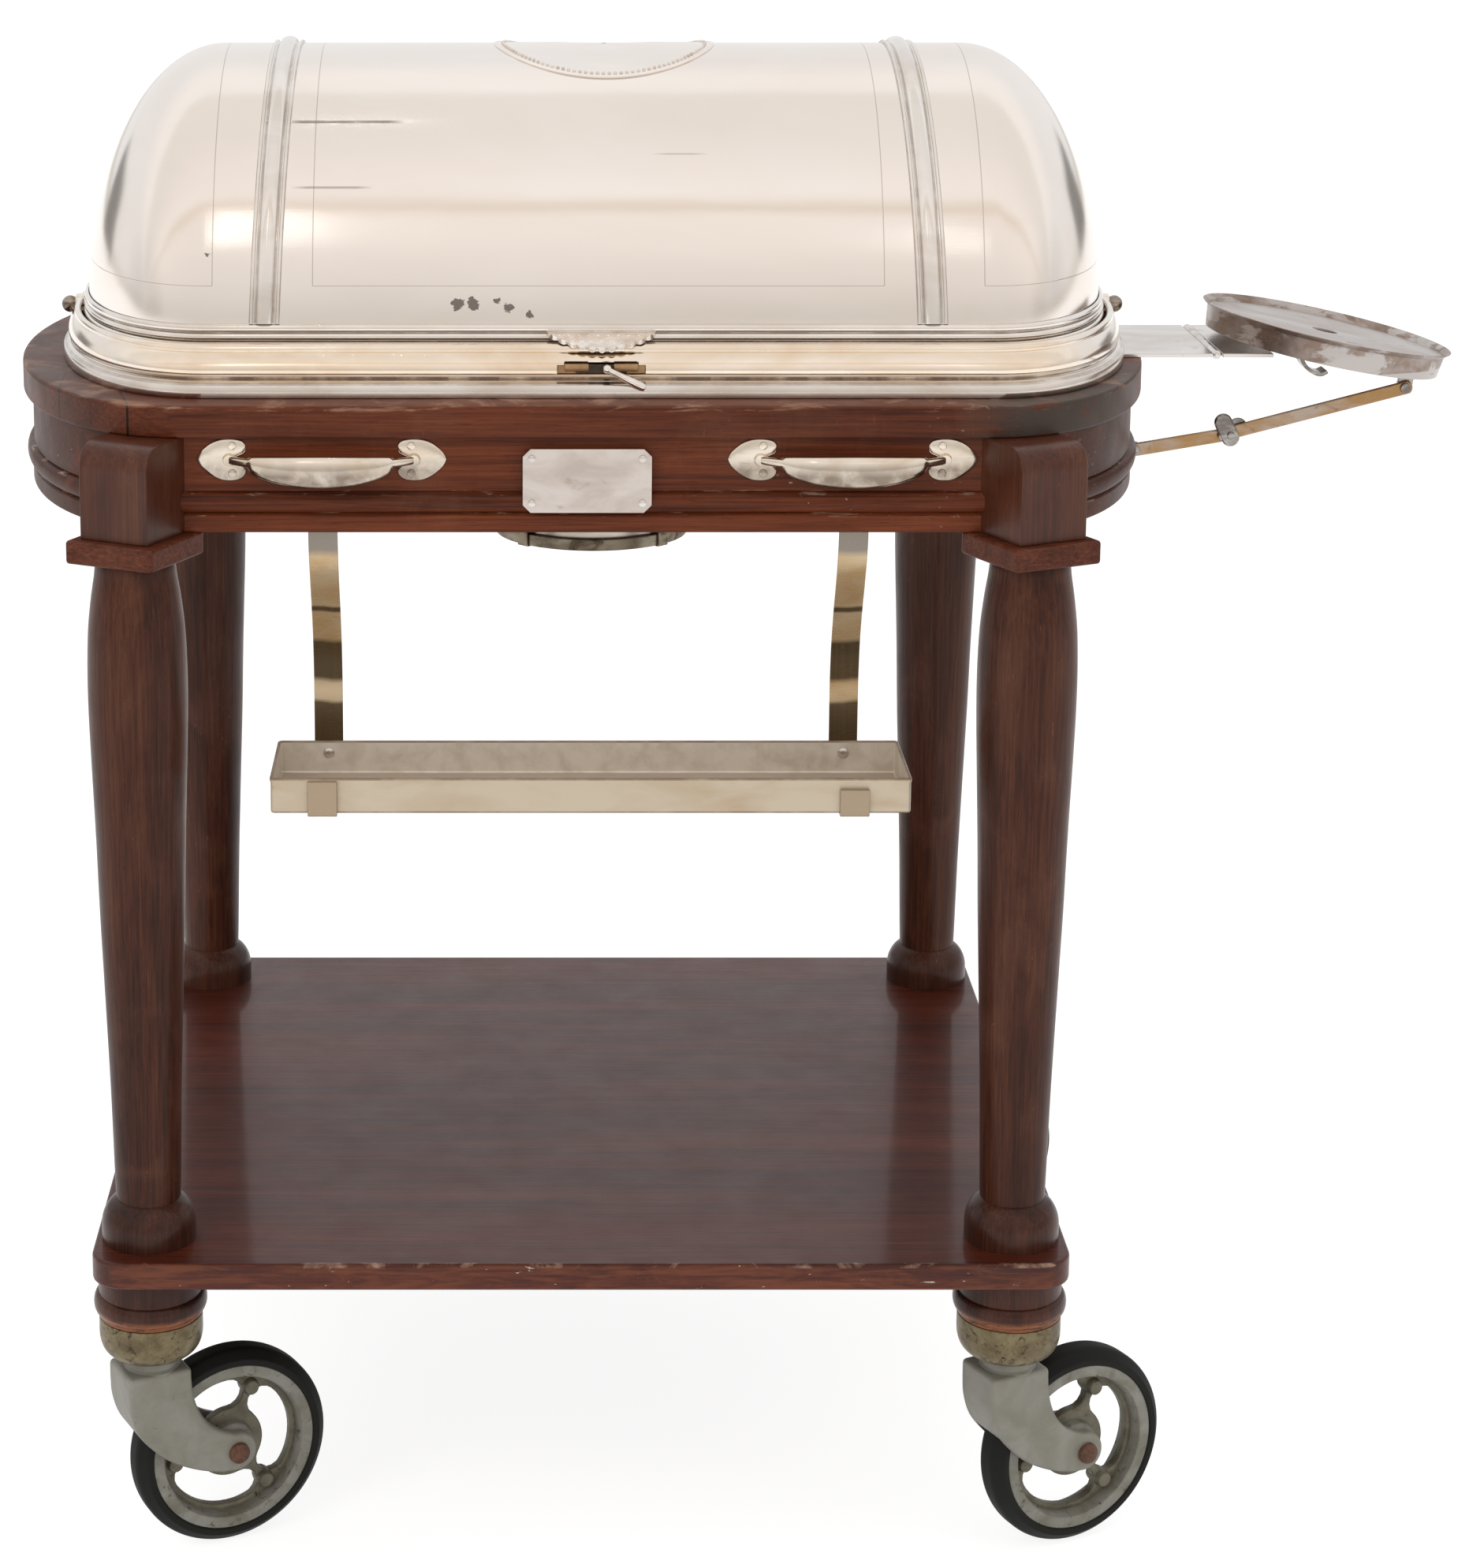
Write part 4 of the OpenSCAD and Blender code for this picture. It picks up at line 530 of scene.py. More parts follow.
# %% Lines and outlines
def rounded(corners, closed=False, steps=4):
    """A line through corners (a, b, radius), each corner replaced by an arc that touches both sides."""
    corners = [tuple(c) if len(c) == 3 else (*c, 0.0) for c in corners]
    out, last = [], len(corners) - 1
    for k, (a, b, radius) in enumerate(corners):
        here = np.array([a, b])
        if radius <= 0 or (not closed and k in (0, last)):
            out.append(here)
            continue
        back, ahead = np.array(corners[k - 1][:2]) - here, np.array(corners[(k + 1) % len(corners)][:2]) - here
        reach = min(np.linalg.norm(back), np.linalg.norm(ahead)) * 0.48
        back, ahead = back / np.linalg.norm(back), ahead / np.linalg.norm(ahead)
        half = math.acos(float(np.clip(back @ ahead, -1, 1))) / 2
        run = min(radius / max(math.tan(half), 1e-6), reach)
        t = np.linspace(0, 1, steps + 1)[:, None]
        # A quadratic Bezier from one side to the other, with the corner as its handle
        out.extend((1 - t) ** 2 * (here + back * run) + 2 * t * (1 - t) * here + t ** 2 * (here + ahead * run))
    return np.array(out)

def smooth_line(points, per=8):
    """A Catmull-Rom curve through points: each stretch bends towards its neighbours' direction."""
    p = np.asarray(points, float)
    p = np.concatenate([[2 * p[0] - p[1]], p, [2 * p[-1] - p[-2]]])
    t = np.linspace(0, 1, per, endpoint=False)[:, None]
    parts = [0.5 * (2 * p[i] + (p[i + 1] - p[i - 1]) * t + (2 * p[i - 1] - 5 * p[i] + 4 * p[i + 1] - p[i + 2]) * t ** 2
             + (3 * p[i] - p[i - 1] - 3 * p[i + 1] + p[i + 2]) * t ** 3) for i in range(1, len(p) - 2)]
    return np.concatenate(parts + [p[-2:-1]])

def ring_of(r, at=(0, 0), begin=0.0, end=360.0, count=24):
    """Points on an arc from begin to end degrees."""
    a = np.radians(np.linspace(begin, end, count))
    return np.stack([at[0] + r * np.cos(a), at[1] + r * np.sin(a)], -1)

def circle(r, count):
    return ring_of(r, count=count + 1)[:-1]

def long_round(p, q, r, half=None, count=12):
    """A bar's outline from p to q: eyes of radius r, joined by edges half apart."""
    p, q = np.array(p, float), np.array(q, float)
    turn, lean = math.degrees(math.atan2(*(q - p)[::-1])), math.degrees(math.asin(min(1.0, (half or r) / r)))
    return np.concatenate([ring_of(r, q, turn - lean, turn + lean, count),
                           ring_of(r, p, turn + 180 - lean, turn + 180 + lean, count)])

def strip(line, thick):
    """The outline of a flat strip of a given thickness along a line of (a, b) points."""
    line = np.asarray(line, float)
    way = np.gradient(line, axis=0)
    way /= np.linalg.norm(way, axis=1)[:, None]
    side = np.stack([-way[:, 1], way[:, 0]], -1) * thick / 2
    return np.concatenate([line + side, (line - side)[::-1]])

def round_box(x0, x1, y0, y1, r, count):
    """A rectangle's outline with rounded corners."""
    q = np.linspace(0, np.pi / 2, count)
    return np.concatenate([np.stack([cx + r * np.cos(q + w), cy + r * np.sin(q + w)], -1) for cx, cy, w in (
        (x1 - r, y1 - r, 0), (x0 + r, y1 - r, np.pi / 2), (x0 + r, y0 + r, np.pi), (x1 - r, y0 + r, 1.5 * np.pi))])

def oval(cx, straight, bow, depth, count=60):
    """Points round a straight-sided outline with bowed ends: the end is an ellipse bow by depth."""
    t = np.linspace(-np.pi / 2, np.pi / 2, count)
    right = np.stack([cx + straight + bow * np.cos(t), depth * np.sin(t)], -1)
    left = np.stack([cx - straight - bow * np.cos(t), -depth * np.sin(t)], -1)
    line = np.linspace(0, 1, 26)[1:-1, None]
    return np.concatenate([right, right[-1] * (1 - line) + left[0] * line, left, left[-1] * (1 - line) + right[0] * line])

# %% Kinds of piece
def axis_frame(axis):
    """A unit axis and two directions square to it."""
    axis = np.array(axis, float) / np.linalg.norm(axis)
    side = np.cross(axis, [0, 0, 1.0] if abs(axis[2]) < 0.9 else [0, 1.0, 0])
    side /= np.linalg.norm(side)
    return axis, side, np.cross(axis, side)

def turned(name, profile, finish, body="frame", at=(0, 0, 0), axis=(0, 0, 1), count=96, closed=False, steps=4, **more):
    """A profile of (radius, height, rounding) turned round an axis: (r cos t, r sin t, h) in the axis's own frame."""
    axis, side, other = axis_frame(axis)
    t = np.linspace(0, 2 * np.pi, count, endpoint=False)[None, :, None]
    r, h = rounded(profile, steps=steps).T[:, :, None, None]
    grid = np.array(at) + r * (np.cos(t) * side + np.sin(t) * other) + h * axis
    return surface(name, grid, finish, body, close_rows=closed, **more)

def oval_grid(rings):
    """Ovals as rows of a grid: each ring is (cx, straight, bow, depth, z)."""
    return np.array([[(*point, ring[4]) for point in oval(*ring[:4])] for ring in rings])

def ovals(name, rings, finish, body="frame", **more):
    """A profile carried round the oval outline."""
    return surface(name, oval_grid(rings), finish, body, close_rows=True, **more)

def prism(outline, thick, at=(0, 0, 0), across=(1, 0, 0), up=(0, 1, 0)):
    """Points and faces of an outline in the plane of across and up, as thick as said towards their cross product."""
    outline, across, up = np.asarray(outline, float), np.array(across, float), np.array(up, float)
    flat = np.array(at) + outline[:, :1] * across + outline[:, 1:2] * up
    count = len(outline)
    faces = [list(range(count)), list(range(count, 2 * count))]
    faces += [[k, (k + 1) % count, count + (k + 1) % count, count + k] for k in range(count)]
    return np.concatenate([flat, flat + thick * np.cross(across, up)]), faces

def box_prism(low, high):
    """A box from its lowest to its highest corner."""
    x, y, z = np.array(high, float) - low
    return prism([(0, 0), (x, 0), (x, y), (0, y)], z, low)

def edged(name, solid, finish, body="frame", bevel=0.8, segments=3, **more):
    """A piece from points and faces, with its sharp edges rounded by a Bevel."""
    piece = finish_piece(name, *solid, finish, body, **more)
    edge = piece.modifiers.new("rounded_edges", "BEVEL")
    edge.width, edge.segments = bevel / 1000, segments
    edge.limit_method, edge.angle_limit, edge.harden_normals = "ANGLE", math.radians(38), True
    return piece

def slab(name, outline, thick, finish, body="frame", at=(0, 0, 0), across=(1, 0, 0), up=(0, 0, 1), **more):
    """A flat outline with a thickness and rounded edges."""
    return edged(name, prism(outline, thick, at, across, up), finish, body, **more)

def upright(name, outline, y0, y1, finish, body="frame", bevel=0.6, **more):
    """A plate that stands front to back: an outline of (x, z) between two depths y0 < y1."""
    return slab(name, outline, y1 - y0, finish, body, (0, y1, 0), bevel=bevel, **more)

# %% Carving and piercing
def scratch_solid(solid, round_by=0.0, segments=4):
    """A solid in millimetres to carve with, its sharp edges rounded."""
    mesh = bpy.data.meshes.new("scratch")
    mesh.from_pydata(solid[0].tolist(), [], solid[1])
    work = bmesh.new()
    work.from_mesh(mesh)
    bmesh.ops.recalc_face_normals(work, faces=work.faces)
    if round_by:
        edges = [e for e in work.edges if e.calc_face_angle(0.0) > math.radians(38)]
        bmesh.ops.bevel(work, geom=edges, offset=round_by, segments=segments, profile=0.5, affect="EDGES", clamp_overlap=True)
    work.to_mesh(mesh)
    work.free()
    return put("scratch", mesh)

def taken(thing):
    """Points and faces of an object as its modifiers or its filled curve leave it."""
    bpy.context.view_layer.update()
    mesh = bpy.data.meshes.new_from_object(thing.evaluated_get(bpy.context.evaluated_depsgraph_get()))
    points = np.zeros(len(mesh.vertices) * 3)
    mesh.vertices.foreach_get("co", points)
    faces = [list(p.vertices) for p in mesh.polygons]
    bpy.data.meshes.remove(mesh)
    return points.reshape(-1, 3), faces

def carved(name, whole, cutters, finish, body="frame", **more):
    """A solid with others cut out of it: exact booleans, kept as one mesh."""
    for number, cutter in enumerate(cutters):
        cut = whole.modifiers.new(f"cut_{number}", "BOOLEAN")
        cut.operation, cut.object, cut.solver = "DIFFERENCE", cutter, "EXACT"
    points, faces = taken(whole)
    bpy.data.batch_remove([part for thing in (whole, *cutters) for part in (thing, thing.data)])
    return finish_piece(name, points, faces, finish, body, **more)

def pierced(name, outlines, thick, bevel, finish, body, at, across, up):
    """A flat plate with openings: closed outlines filled by the curve tool, then put in place as a mesh."""
    curve = bpy.data.curves.new(name + "_lines", "CURVE")
    curve.dimensions, curve.fill_mode = "2D", "BOTH"
    curve.extrude, curve.bevel_depth, curve.bevel_resolution = thick / 2 - bevel, bevel, 2
    for outline in outlines:
        line = curve.splines.new("POLY")
        line.points.add(len(outline) - 1)
        line.points.foreach_set("co", np.concatenate([outline, np.tile([0.0, 1.0], (len(outline), 1))], 1).ravel())
        line.use_cyclic_u = True
    holder = put(name + "_lines", curve)
    points, faces = taken(holder)
    bpy.data.batch_remove([holder, curve])
    across, up = np.array(across, float), np.array(up, float)
    placed = np.array(at) + points[:, :1] * across + points[:, 1:2] * up + points[:, 2:] * np.cross(across, up)
    return finish_piece(name, placed, faces, finish, body, angle=50)

# %% [markdown]
# ## Wooden top
# The board is a thick oval-ended ring with softened edges, and the apron under it is a
# moulded rail: a frieze, a half-round bead and a plain lower band. Both are one profile
# carried round the outline.

# %% Board and apron
WOOD_C, WOOD_S, WOOD_BOW, WOOD_D = 3, 285, 143, 268
UNIT_C, UNIT_S = 12, 282
BOARD_Z, BOARD_TOP, APRON_Z = 848, 871, 779

def wood_rings(profile):
    """(out from the board's edge, height) pairs as rings round the wooden top."""
    return [(WOOD_C, WOOD_S, WOOD_BOW + out, WOOD_D + out, z) for out, z in profile]

def unit_rings(profile):
    """(bow, half depth, height) triples as rings round the silver unit."""
    return [(UNIT_C, UNIT_S, *triple) for triple in profile]

board_edge = rounded([(-20, BOARD_Z), (0, BOARD_Z, 2.0), (0, BOARD_TOP, 3.0), (-8, BOARD_TOP)])
ovals("top_board", wood_rings(board_edge) + unit_rings([(114.5, 214, BOARD_TOP), (114.5, 214, BOARD_Z)]), BOARD)
bead = [(-7 + 5 * math.cos(a), 801 + 7 * math.sin(a)) for a in np.linspace(-np.pi / 2, np.pi / 2, 13)]
apron_face = [*rounded([(-20, APRON_Z), (-6, APRON_Z, 1.5), (-6, APRON_Z + 12, 1.5), (-8.5, APRON_Z + 14.2)]), *bead,
              *rounded([(-8, 808.4), (-7, 809, 0.5), (-7, BOARD_Z)]), (-27, BOARD_Z), (-27, APRON_Z)]
ovals("apron", wood_rings(apron_face), WOOD_X)

# %% [markdown]
# ## Legs
# Each leg is turned from one piece with its square block, which carries the apron's rails
# and is rounded over at the top of its face. Under the block sits a square cap, and the leg
# stands in a turned collar on the shelf.

# %% Legs, blocks, caps and collars
TURN, CAP_Z, CAP_T, CAP_HALF, BLOCK_HALF = math.radians(26), 762, 17, 35.5, 27.5
leg_line = smooth_line([(27.5, 762), (28.6, 757), (29.4, 750), (32, 733), (34.4, 710), (35.4, 680), (35.2, 650),
                        (34.2, 617), (32.1, 558), (30.5, 500), (28.8, 454), (25.8, 370), (23.6, 285), (22, 278)], 6)
collar_line = [(22.1, 251), (34.5, 251), (34.5, 262), *smooth_line(
    [(34.5, 264), (34.1, 268), (32.9, 272.5), (30.7, 277), (27.9, 280.6), (24.9, 283), (22.9, 284), (22.1, 284)], 5)]
block_side = rounded([(42, APRON_Z), (-BLOCK_HALF, APRON_Z, 1.0), (-BLOCK_HALF, BOARD_Z, 20.0), (42, BOARD_Z)], steps=12)
cap = [(-CAP_HALF, -CAP_HALF), (CAP_HALF, -CAP_HALF), (CAP_HALF, CAP_HALF), (-CAP_HALF, CAP_HALF)]
for tag, here in CORNERS.items():
    turned(f"leg_{tag}", leg_line, WOOD_LEG, at=here)
    # The block's own directions: inward is from its face to the middle of the table
    inward = -np.sign(here) * [math.sin(TURN), math.cos(TURN), 0]
    sideways = np.cross(inward, [0, 0, 1.0])
    slab(f"leg_block_{tag}", block_side, 2 * BLOCK_HALF, WOOD_BLOCK, at=here - BLOCK_HALF * sideways, across=inward, bevel=1.6)
    slab(f"leg_cap_{tag}", cap, CAP_T, WOOD_EDGE, at=here + [0, 0, CAP_Z], across=sideways, up=inward, bevel=2.5)
    turned(f"leg_collar_{tag}", collar_line, WOOD_FOOT, at=here, closed=True)

# %% [markdown]
# ## Shelf and feet
# The shelf is one wide board with rounded corners, polished enough to mirror the legs. Under
# each corner a turned foot with a bead carries the caster's cup.

# %% Shelf, feet and cups
SHELF_X, SHELF_Y, SHELF_UNDER, SHELF_T = 355, 320, 232, 20
shelf_outline = round_box(-SHELF_X, SHELF_X, -SHELF_Y, SHELF_Y, 26, 9)
slab("shelf", shelf_outline, SHELF_T, WOOD_SHELF, at=(0, 0, SHELF_UNDER), up=(0, 1, 0), bevel=2.2)
foot_line = [(0, 193), (38, 193, 1.2), (38, 196),
             *((38 + 3.5 * math.cos(a), 203.5 + 7.5 * math.sin(a)) for a in np.linspace(-np.pi / 2, np.pi / 2, 16)),
             (38, 212), (38, 232), (0, 232)]
cup_line = [*smooth_line([(0, 161.6), (24, 161.6), (28, 162.4), (32.5, 165.2), (35.8, 169.6), (37.5, 175), (38, 180), (38, 186)], 5),
            (38, 188), (38, 192.8, 0.6), (0, 192.8)]
for tag, here in CORNERS.items():
    turned(f"foot_{tag}", foot_line, WOOD_FOOT, at=here)
    turned(f"caster_cup_{tag}", cup_line, CUP, at=here)

# %% [markdown]
# ## Casters
# The yoke is one casting: a neck that turns on a stem in the cup, a thick crown that closes in
# front of the tyre, and two flat arms that sweep down and back to the axle. It is carved as a
# founder would see it, an outline with rounded edges and a slot for the wheel. The wheel has
# three spokes, each riveted near the rim, and wears a rubber tyre with a rounded tread.

# %% Outlines of the casters
TRAIL, PSI, WHEEL_R, FORK_W = 59, math.radians(27), 76, 44
yoke_outline = np.concatenate([[(-26, 151.9)], smooth_line(
    [(-26, 138), (-25, 124), (-19.5, 107), (-8, 92), (4, 81), (16, 73.5), (30, 67), (44, 62.6), (53, 61.4)], 4),
    ring_of(15, (TRAIL, WHEEL_R), -94, 74, 16),
    smooth_line([(57, 91), (46, 96), (37, 103), (30, 113), (25.5, 125), (23.5, 138), (23, 151.9)], 4)])

def kidney(inner, outer, begin, end):
    """An opening bent round the hub: two arcs joined by half circles."""
    middle, half = (inner + outer) / 2, (outer - inner) / 2
    tips = [ring_of(half, ring_of(middle, begin=at, end=at, count=1)[0], at + turn + 20, at + turn + 160, 7)
            for at, turn in ((end, 0), (begin, 180))]
    return np.concatenate([ring_of(outer, begin=begin, end=end, count=14), tips[0],
                           ring_of(inner, begin=end, end=begin, count=14), tips[1]])

SPOKES = [120 * k + 68 for k in range(3)]
web = [circle(54, 72)] + [kidney(25, 51, spoke + 22, spoke + 98) for spoke in SPOKES]
neck = [(0, 149), (21.5, 149), (21.5, 151.5, 0.6), (19.4, 153.4, 2.0), (19, 157, 0), (19, 161.2, 0.5), (0, 161.2)]
wheel_rim = [(53.5, -4), (55.5, -13, 1.2), (64, -13, 0.8), (64, 13, 0.8), (55.5, 13, 1.2), (53.5, 4)]
boss = [(6, 15), (12, 15, 1), (14, 11, 1.5), (17, 9, 2), (18.5, 3, 1), (18.5, -3, 1), (17, -9, 2), (14, -11, 1.5),
        (12, -15, 1), (6, -15)]
rivet = [(0, -9), (5.4, -9, 1.6), (6.6, -4, 0), (6.6, 4, 0), (5.4, 9, 1.6), (0, 9)]
tread = [(64, -13), (65, -14, 0.8), (69, -14, 2), (76, -7, 8), (76, 7, 8), (69, 14, 2), (65, 14, 0.8), (64, 13)]
bolt = [(0, -27), (8.4, -27, 1), (8.4, -22), (5, -22), (5, 22), (8, 22), (7.6, 25.4, 1.6), (4, 27, 1), (0, 27)]

# %% Casters
along = np.array([math.cos(PSI), math.sin(PSI), 0.0])
axle = np.array([math.sin(PSI), -math.cos(PSI), 0.0])      # points to the front
up = np.array([0, 0, 1.0])

def cutter(r, length, at, count):
    """A cylinder centred on the axle, to carve with."""
    _, side, other = axis_frame(-axle)
    return scratch_solid(prism(circle(r, count), length, at + axle * length / 2, side, other))

for tag, pivot in CORNERS.items():
    hub = pivot + TRAIL * along + WHEEL_R * up
    swivel, roller = f"caster_{tag}", f"roller_{tag}"
    blank = scratch_solid(prism(yoke_outline, FORK_W, pivot - axle * FORK_W / 2, along, up), round_by=5.5, segments=6)
    carved(f"fork_{tag}", blank, [cutter(79, 31, hub, 128), cutter(5.1, 60, hub, 32)], CAST, swivel, angle=16)
    turned(f"fork_neck_{tag}", neck, CAST, swivel, pivot)
    turned(f"wheel_rim_{tag}", wheel_rim, WHEEL_CAST, roller, hub, axle, closed=True)
    pierced(f"wheel_web_{tag}", web, 8, 1.6, WEB_CAST, roller, hub, along, up)
    turned(f"wheel_hub_{tag}", boss, WHEEL_CAST, roller, hub, axle, closed=True, steps=3)
    for k, spoke in enumerate(SPOKES):
        spot = hub + 45 * (math.cos(math.radians(spoke)) * along + math.sin(math.radians(spoke)) * up)
        turned(f"wheel_rivet_{tag}_{k}", rivet, WEB_CAST, roller, spot, axle, 24, steps=3)
    turned(f"tyre_{tag}", tread, RUBBER, roller, hub, axle, 128, closed=True, steps=8)
    turned(f"axle_{tag}", bolt, RUST, swivel, hub, axle, 32)

# %% [markdown]
# ## Silver rim
# The well's rim is spun or pressed sheet: a flat flange on the wood, a step and a groove, a
# broad rounded band, and a rolled top edge that the dome closes over. The band has kept a
# warm, gilt tone where it is polished and the flange has worn to grey. At the front a small
# stepped window is pierced for the catch.

# %% Rim, pivot pins
RIM_BOW, RIM_D, PIVOT_Z = 110.5, 211.5, 900
def rim_rings(profile):
    """(out at the ends, out at the front, up from the board) triples, as rings round the silver unit."""
    return unit_rings([(RIM_BOW + a, RIM_D + b, BOARD_TOP + c) for a, b, c in profile])

flange_line = [(10.0, 20, 0), (13.3, 27.6, 0), (13.7, 28.2, 0.5), (13.7, 28.2, 4), (13.5, 28, 8.3), (12.7, 27.0, 9.5),
               (11.2, 23.8, 10.1), (10.6, 22.3, 11.3), (9.3, 19.8, 11.6), (8.6, 18.0, 12.4), (8.2, 17, 11), (8.2, 17, 0)]
ovals("well_flange", rim_rings(flange_line), FLANGE_METAL, angle=50)
band_line = [(7.4, 14, 12.6), *smooth_line([
    (8.4, 18.0, 12.6), (8.4, 17.8, 14.2), (9.2, 18.6, 15.4), (9.8, 18.9, 17.4), (9.8, 18.7, 20), (9.1, 17.3, 23.4),
    (7.6, 14.5, 27), (6.0, 11.2, 29.6), (5.0, 9.0, 30.7), (5.4, 9.1, 31.9), (5.1, 8.0, 34.3), (3.7, 5.6, 35.7),
    (1.9, 2.8, 35.6), (0.5, 1.0, 34.2), (0, 0, 31.5)], 3), (0, 0, 0), (1.6, 2.0, 0), (1.6, 2.0, 28), (6.4, 12.4, 22)]
grid = oval_grid(rim_rings(band_line))
band_solid = scratch_solid((grid.reshape(-1, 3), quads(*grid.shape[:2], close_rows=True, close_columns=True)))
window = [scratch_solid(box_prism(*box)) for box in (((-18, -245, 887), (45, -222, 893.5)), ((-13, -245, 892), (40, -222, 896)))]
carved("well_band", band_solid, window, GILT, angle=50)
boss_line = [(5.1, 392.6), (8, 392.6), (8, 399.6, 1.2), (5.1, 399.6)]
ball = 6.5 * np.stack([np.sin(a := np.linspace(0.02, np.pi - 0.4, 20)), np.cos(a)], -1) + [0, 404.1]
pin_line = [(0, 410.6), *ball[1:], (4.9, 399.8), (5, 376.7), (8, 376.7), (8, 373), (0, 373)]
for s, side in ((-1, "left"), (1, "right")):
    turned(f"pivot_boss_{side}", boss_line, GILT, at=(UNIT_C, 0, PIVOT_Z), axis=(s, 0, 0), count=48)
    turned(f"pivot_pin_{side}", pin_line, PIN_METAL, at=(UNIT_C, 0, PIVOT_Z), axis=(s, 0, 0), count=48)

# %% [markdown]
# ## Dome
# The dome is half of a shape turned round the pivot: a straight barrel whose ends close in
# an ellipse. Its sheet is 1.5 mm thick. Three reeds run round its lower edge, and two reeded
# bands, a half-round between fine beads, cross it and lean inwards a little at the top.

# %% Dome, border, bands
DOME_R, DOME_S, DOME_BOW, BORDER_H = 201, 282, 105, 18
def on_pivot(points):
    """Millimetres from the middle of the dome's axis to millimetres from the middle of the legs."""
    return np.asarray(points, float) + [UNIT_C, 0, PIVOT_Z]

end = np.linspace(0, np.pi / 2, 40)
half_x = np.concatenate([DOME_S + DOME_BOW * np.cos(end), np.linspace(DOME_S, 0, 24)[1:]])
half_r = np.concatenate([DOME_R * np.sin(end), np.full(23, float(DOME_R))])
dome_x, dome_rad = np.concatenate([half_x, -half_x[::-1][1:]])[:, None], np.concatenate([half_r, half_r[::-1][1:]])[:, None]
sweep = np.linspace(0, np.pi, 121)
dome = surface("dome_shell", on_pivot(grid_of(dome_x, -dome_rad * np.cos(sweep), dome_rad * np.sin(sweep))), SILVER, "dome",
               close_columns=False)
wall = dome.modifiers.new("sheet", "SOLIDIFY")
wall.thickness, wall.offset = 0.0015, -1.0

reeds = [(0.1, 0)]
for k in range(3):
    for a in np.linspace(-np.pi / 2, np.pi / 2, 9):
        reeds.append((1.2 + (2.8 - 0.5 * k) * max(0.0, math.cos(a)), 6 * k + 3 + 2.9 * math.sin(a)))
reeds.append((0.1, BORDER_H))
ovals("dome_border", unit_rings([(DOME_BOW + out, DOME_R + out, PIVOT_Z + high) for out, high in reeds]), SILVER_TRIM, "dome",
      angle=50)

def bulge(middle, half, foot, high, count):
    """Points over a half-round bead: (middle + half sin a, foot + high cos a)."""
    return [(middle + half * math.sin(a), foot + high * math.cos(a)) for a in np.linspace(-1.5, 1.5, count)]

band_profile = np.array([(-11, 0.1), (-11, 0.9), *bulge(-9.5, 1.4, 0.9, 1.6, 7), (-7.4, 0.8), (-6.2, 0.8),
                         *bulge(0, 6, 0.8, 4.4, 13), (6.2, 0.8), (7.4, 0.8), *bulge(9.5, 1.4, 0.9, 1.6, 7), (11, 0.9), (11, 0.1)])
low = math.asin(BORDER_H / DOME_R) + 0.002
arc = np.linspace(low, np.pi - low, 121)[:, None]
for s, side in ((-1, "left"), (1, "right")):
    r = DOME_R + band_profile[None, :, 1]
    lean = 240.5 - 8 * np.sin(arc) + band_profile[None, :, 0]
    surface(f"dome_band_{side}", on_pivot(grid_of(s * lean, -r * np.cos(arc), r * np.sin(arc))), SILVER_TRIM, "dome", caps=True,
            angle=50)

# %% [markdown]
# ## Thumb-lift, cartouche and catch
# A scalloped shell at the middle of the front edge lifts the dome. On the crown lies an oval
# cartouche with a border of small beads, left bare inside. The catch is a small lever in a
# window of the rim.

# %% Thumb-lift
u, v = np.linspace(-1, 1, 155)[None, :], np.linspace(0, 1, 16)[:, None]
lobes = np.abs(np.sin(np.pi / 2 * 11 * (u + 1)))
lift_line = smooth_line([(0, 12.5), (5.8, 12), (11.8, 10.6), (17.8, 8), (22.8, 4.6), (26.8, 0.6)], 8)
run = v * (2 + 20 * (1 - u ** 2) ** 0.6 + 2.2 * lobes)
flute = 1.5 * v ** 0.8 * lobes
top = grid_of(2 + 39 * u, -(DOME_R + 2) - run, np.interp(run, lift_line[:, 0], lift_line[:, 1]) + flute + 0.4)
under = top.copy()
under[..., 2] -= 2.0 + flute
surface("thumb_lift", on_pivot(np.concatenate([top, under[::-1]])), BRIGHT, "dome", close_rows=True, close_columns=False, angle=60)

# %% Cartouche and its beads
def over_crown(lengthwise, around, out):
    """Places on the crown: millimetres along the barrel, round it, and out from its skin."""
    turn = around / DOME_R
    return on_pivot(grid_of(8 + lengthwise, (DOME_R + out) * np.sin(turn), (DOME_R + out) * np.cos(turn)))

t = np.linspace(0, 2 * np.pi, 120, endpoint=False)
levels = np.array([(1.0, 0.06), (1.0, 0.9), (0.975, 1.5), (0.95, 0.9), (0.90, 0.6), (0.5, 0.6), (0.02, 0.6)])
share, out = levels[:, :1], levels[:, 1:]
surface("cartouche", over_crown(84 * share * np.cos(t), 87 * share * np.sin(t), out), SILVER, "dome")

t = np.linspace(0, 2 * np.pi, 110, endpoint=False)
centres = over_crown(77 * np.cos(t), 80 * np.sin(t), 1.0)
lat, lon = np.linspace(0, np.pi, 7)[:, None], np.linspace(0, 2 * np.pi, 10, endpoint=False)
small_ball = 1.3 * grid_of(np.sin(lat) * np.cos(lon), np.sin(lat) * np.sin(lon), np.cos(lat))
bead_faces = [[v + 70 * k for v in face] for k in range(len(centres)) for face in quads(7, 10, close_columns=True)]
finish_piece("cartouche_beads", (centres[:, None, None, :] + small_ball).reshape(-1, 3), bead_faces, BRIGHT, "dome")

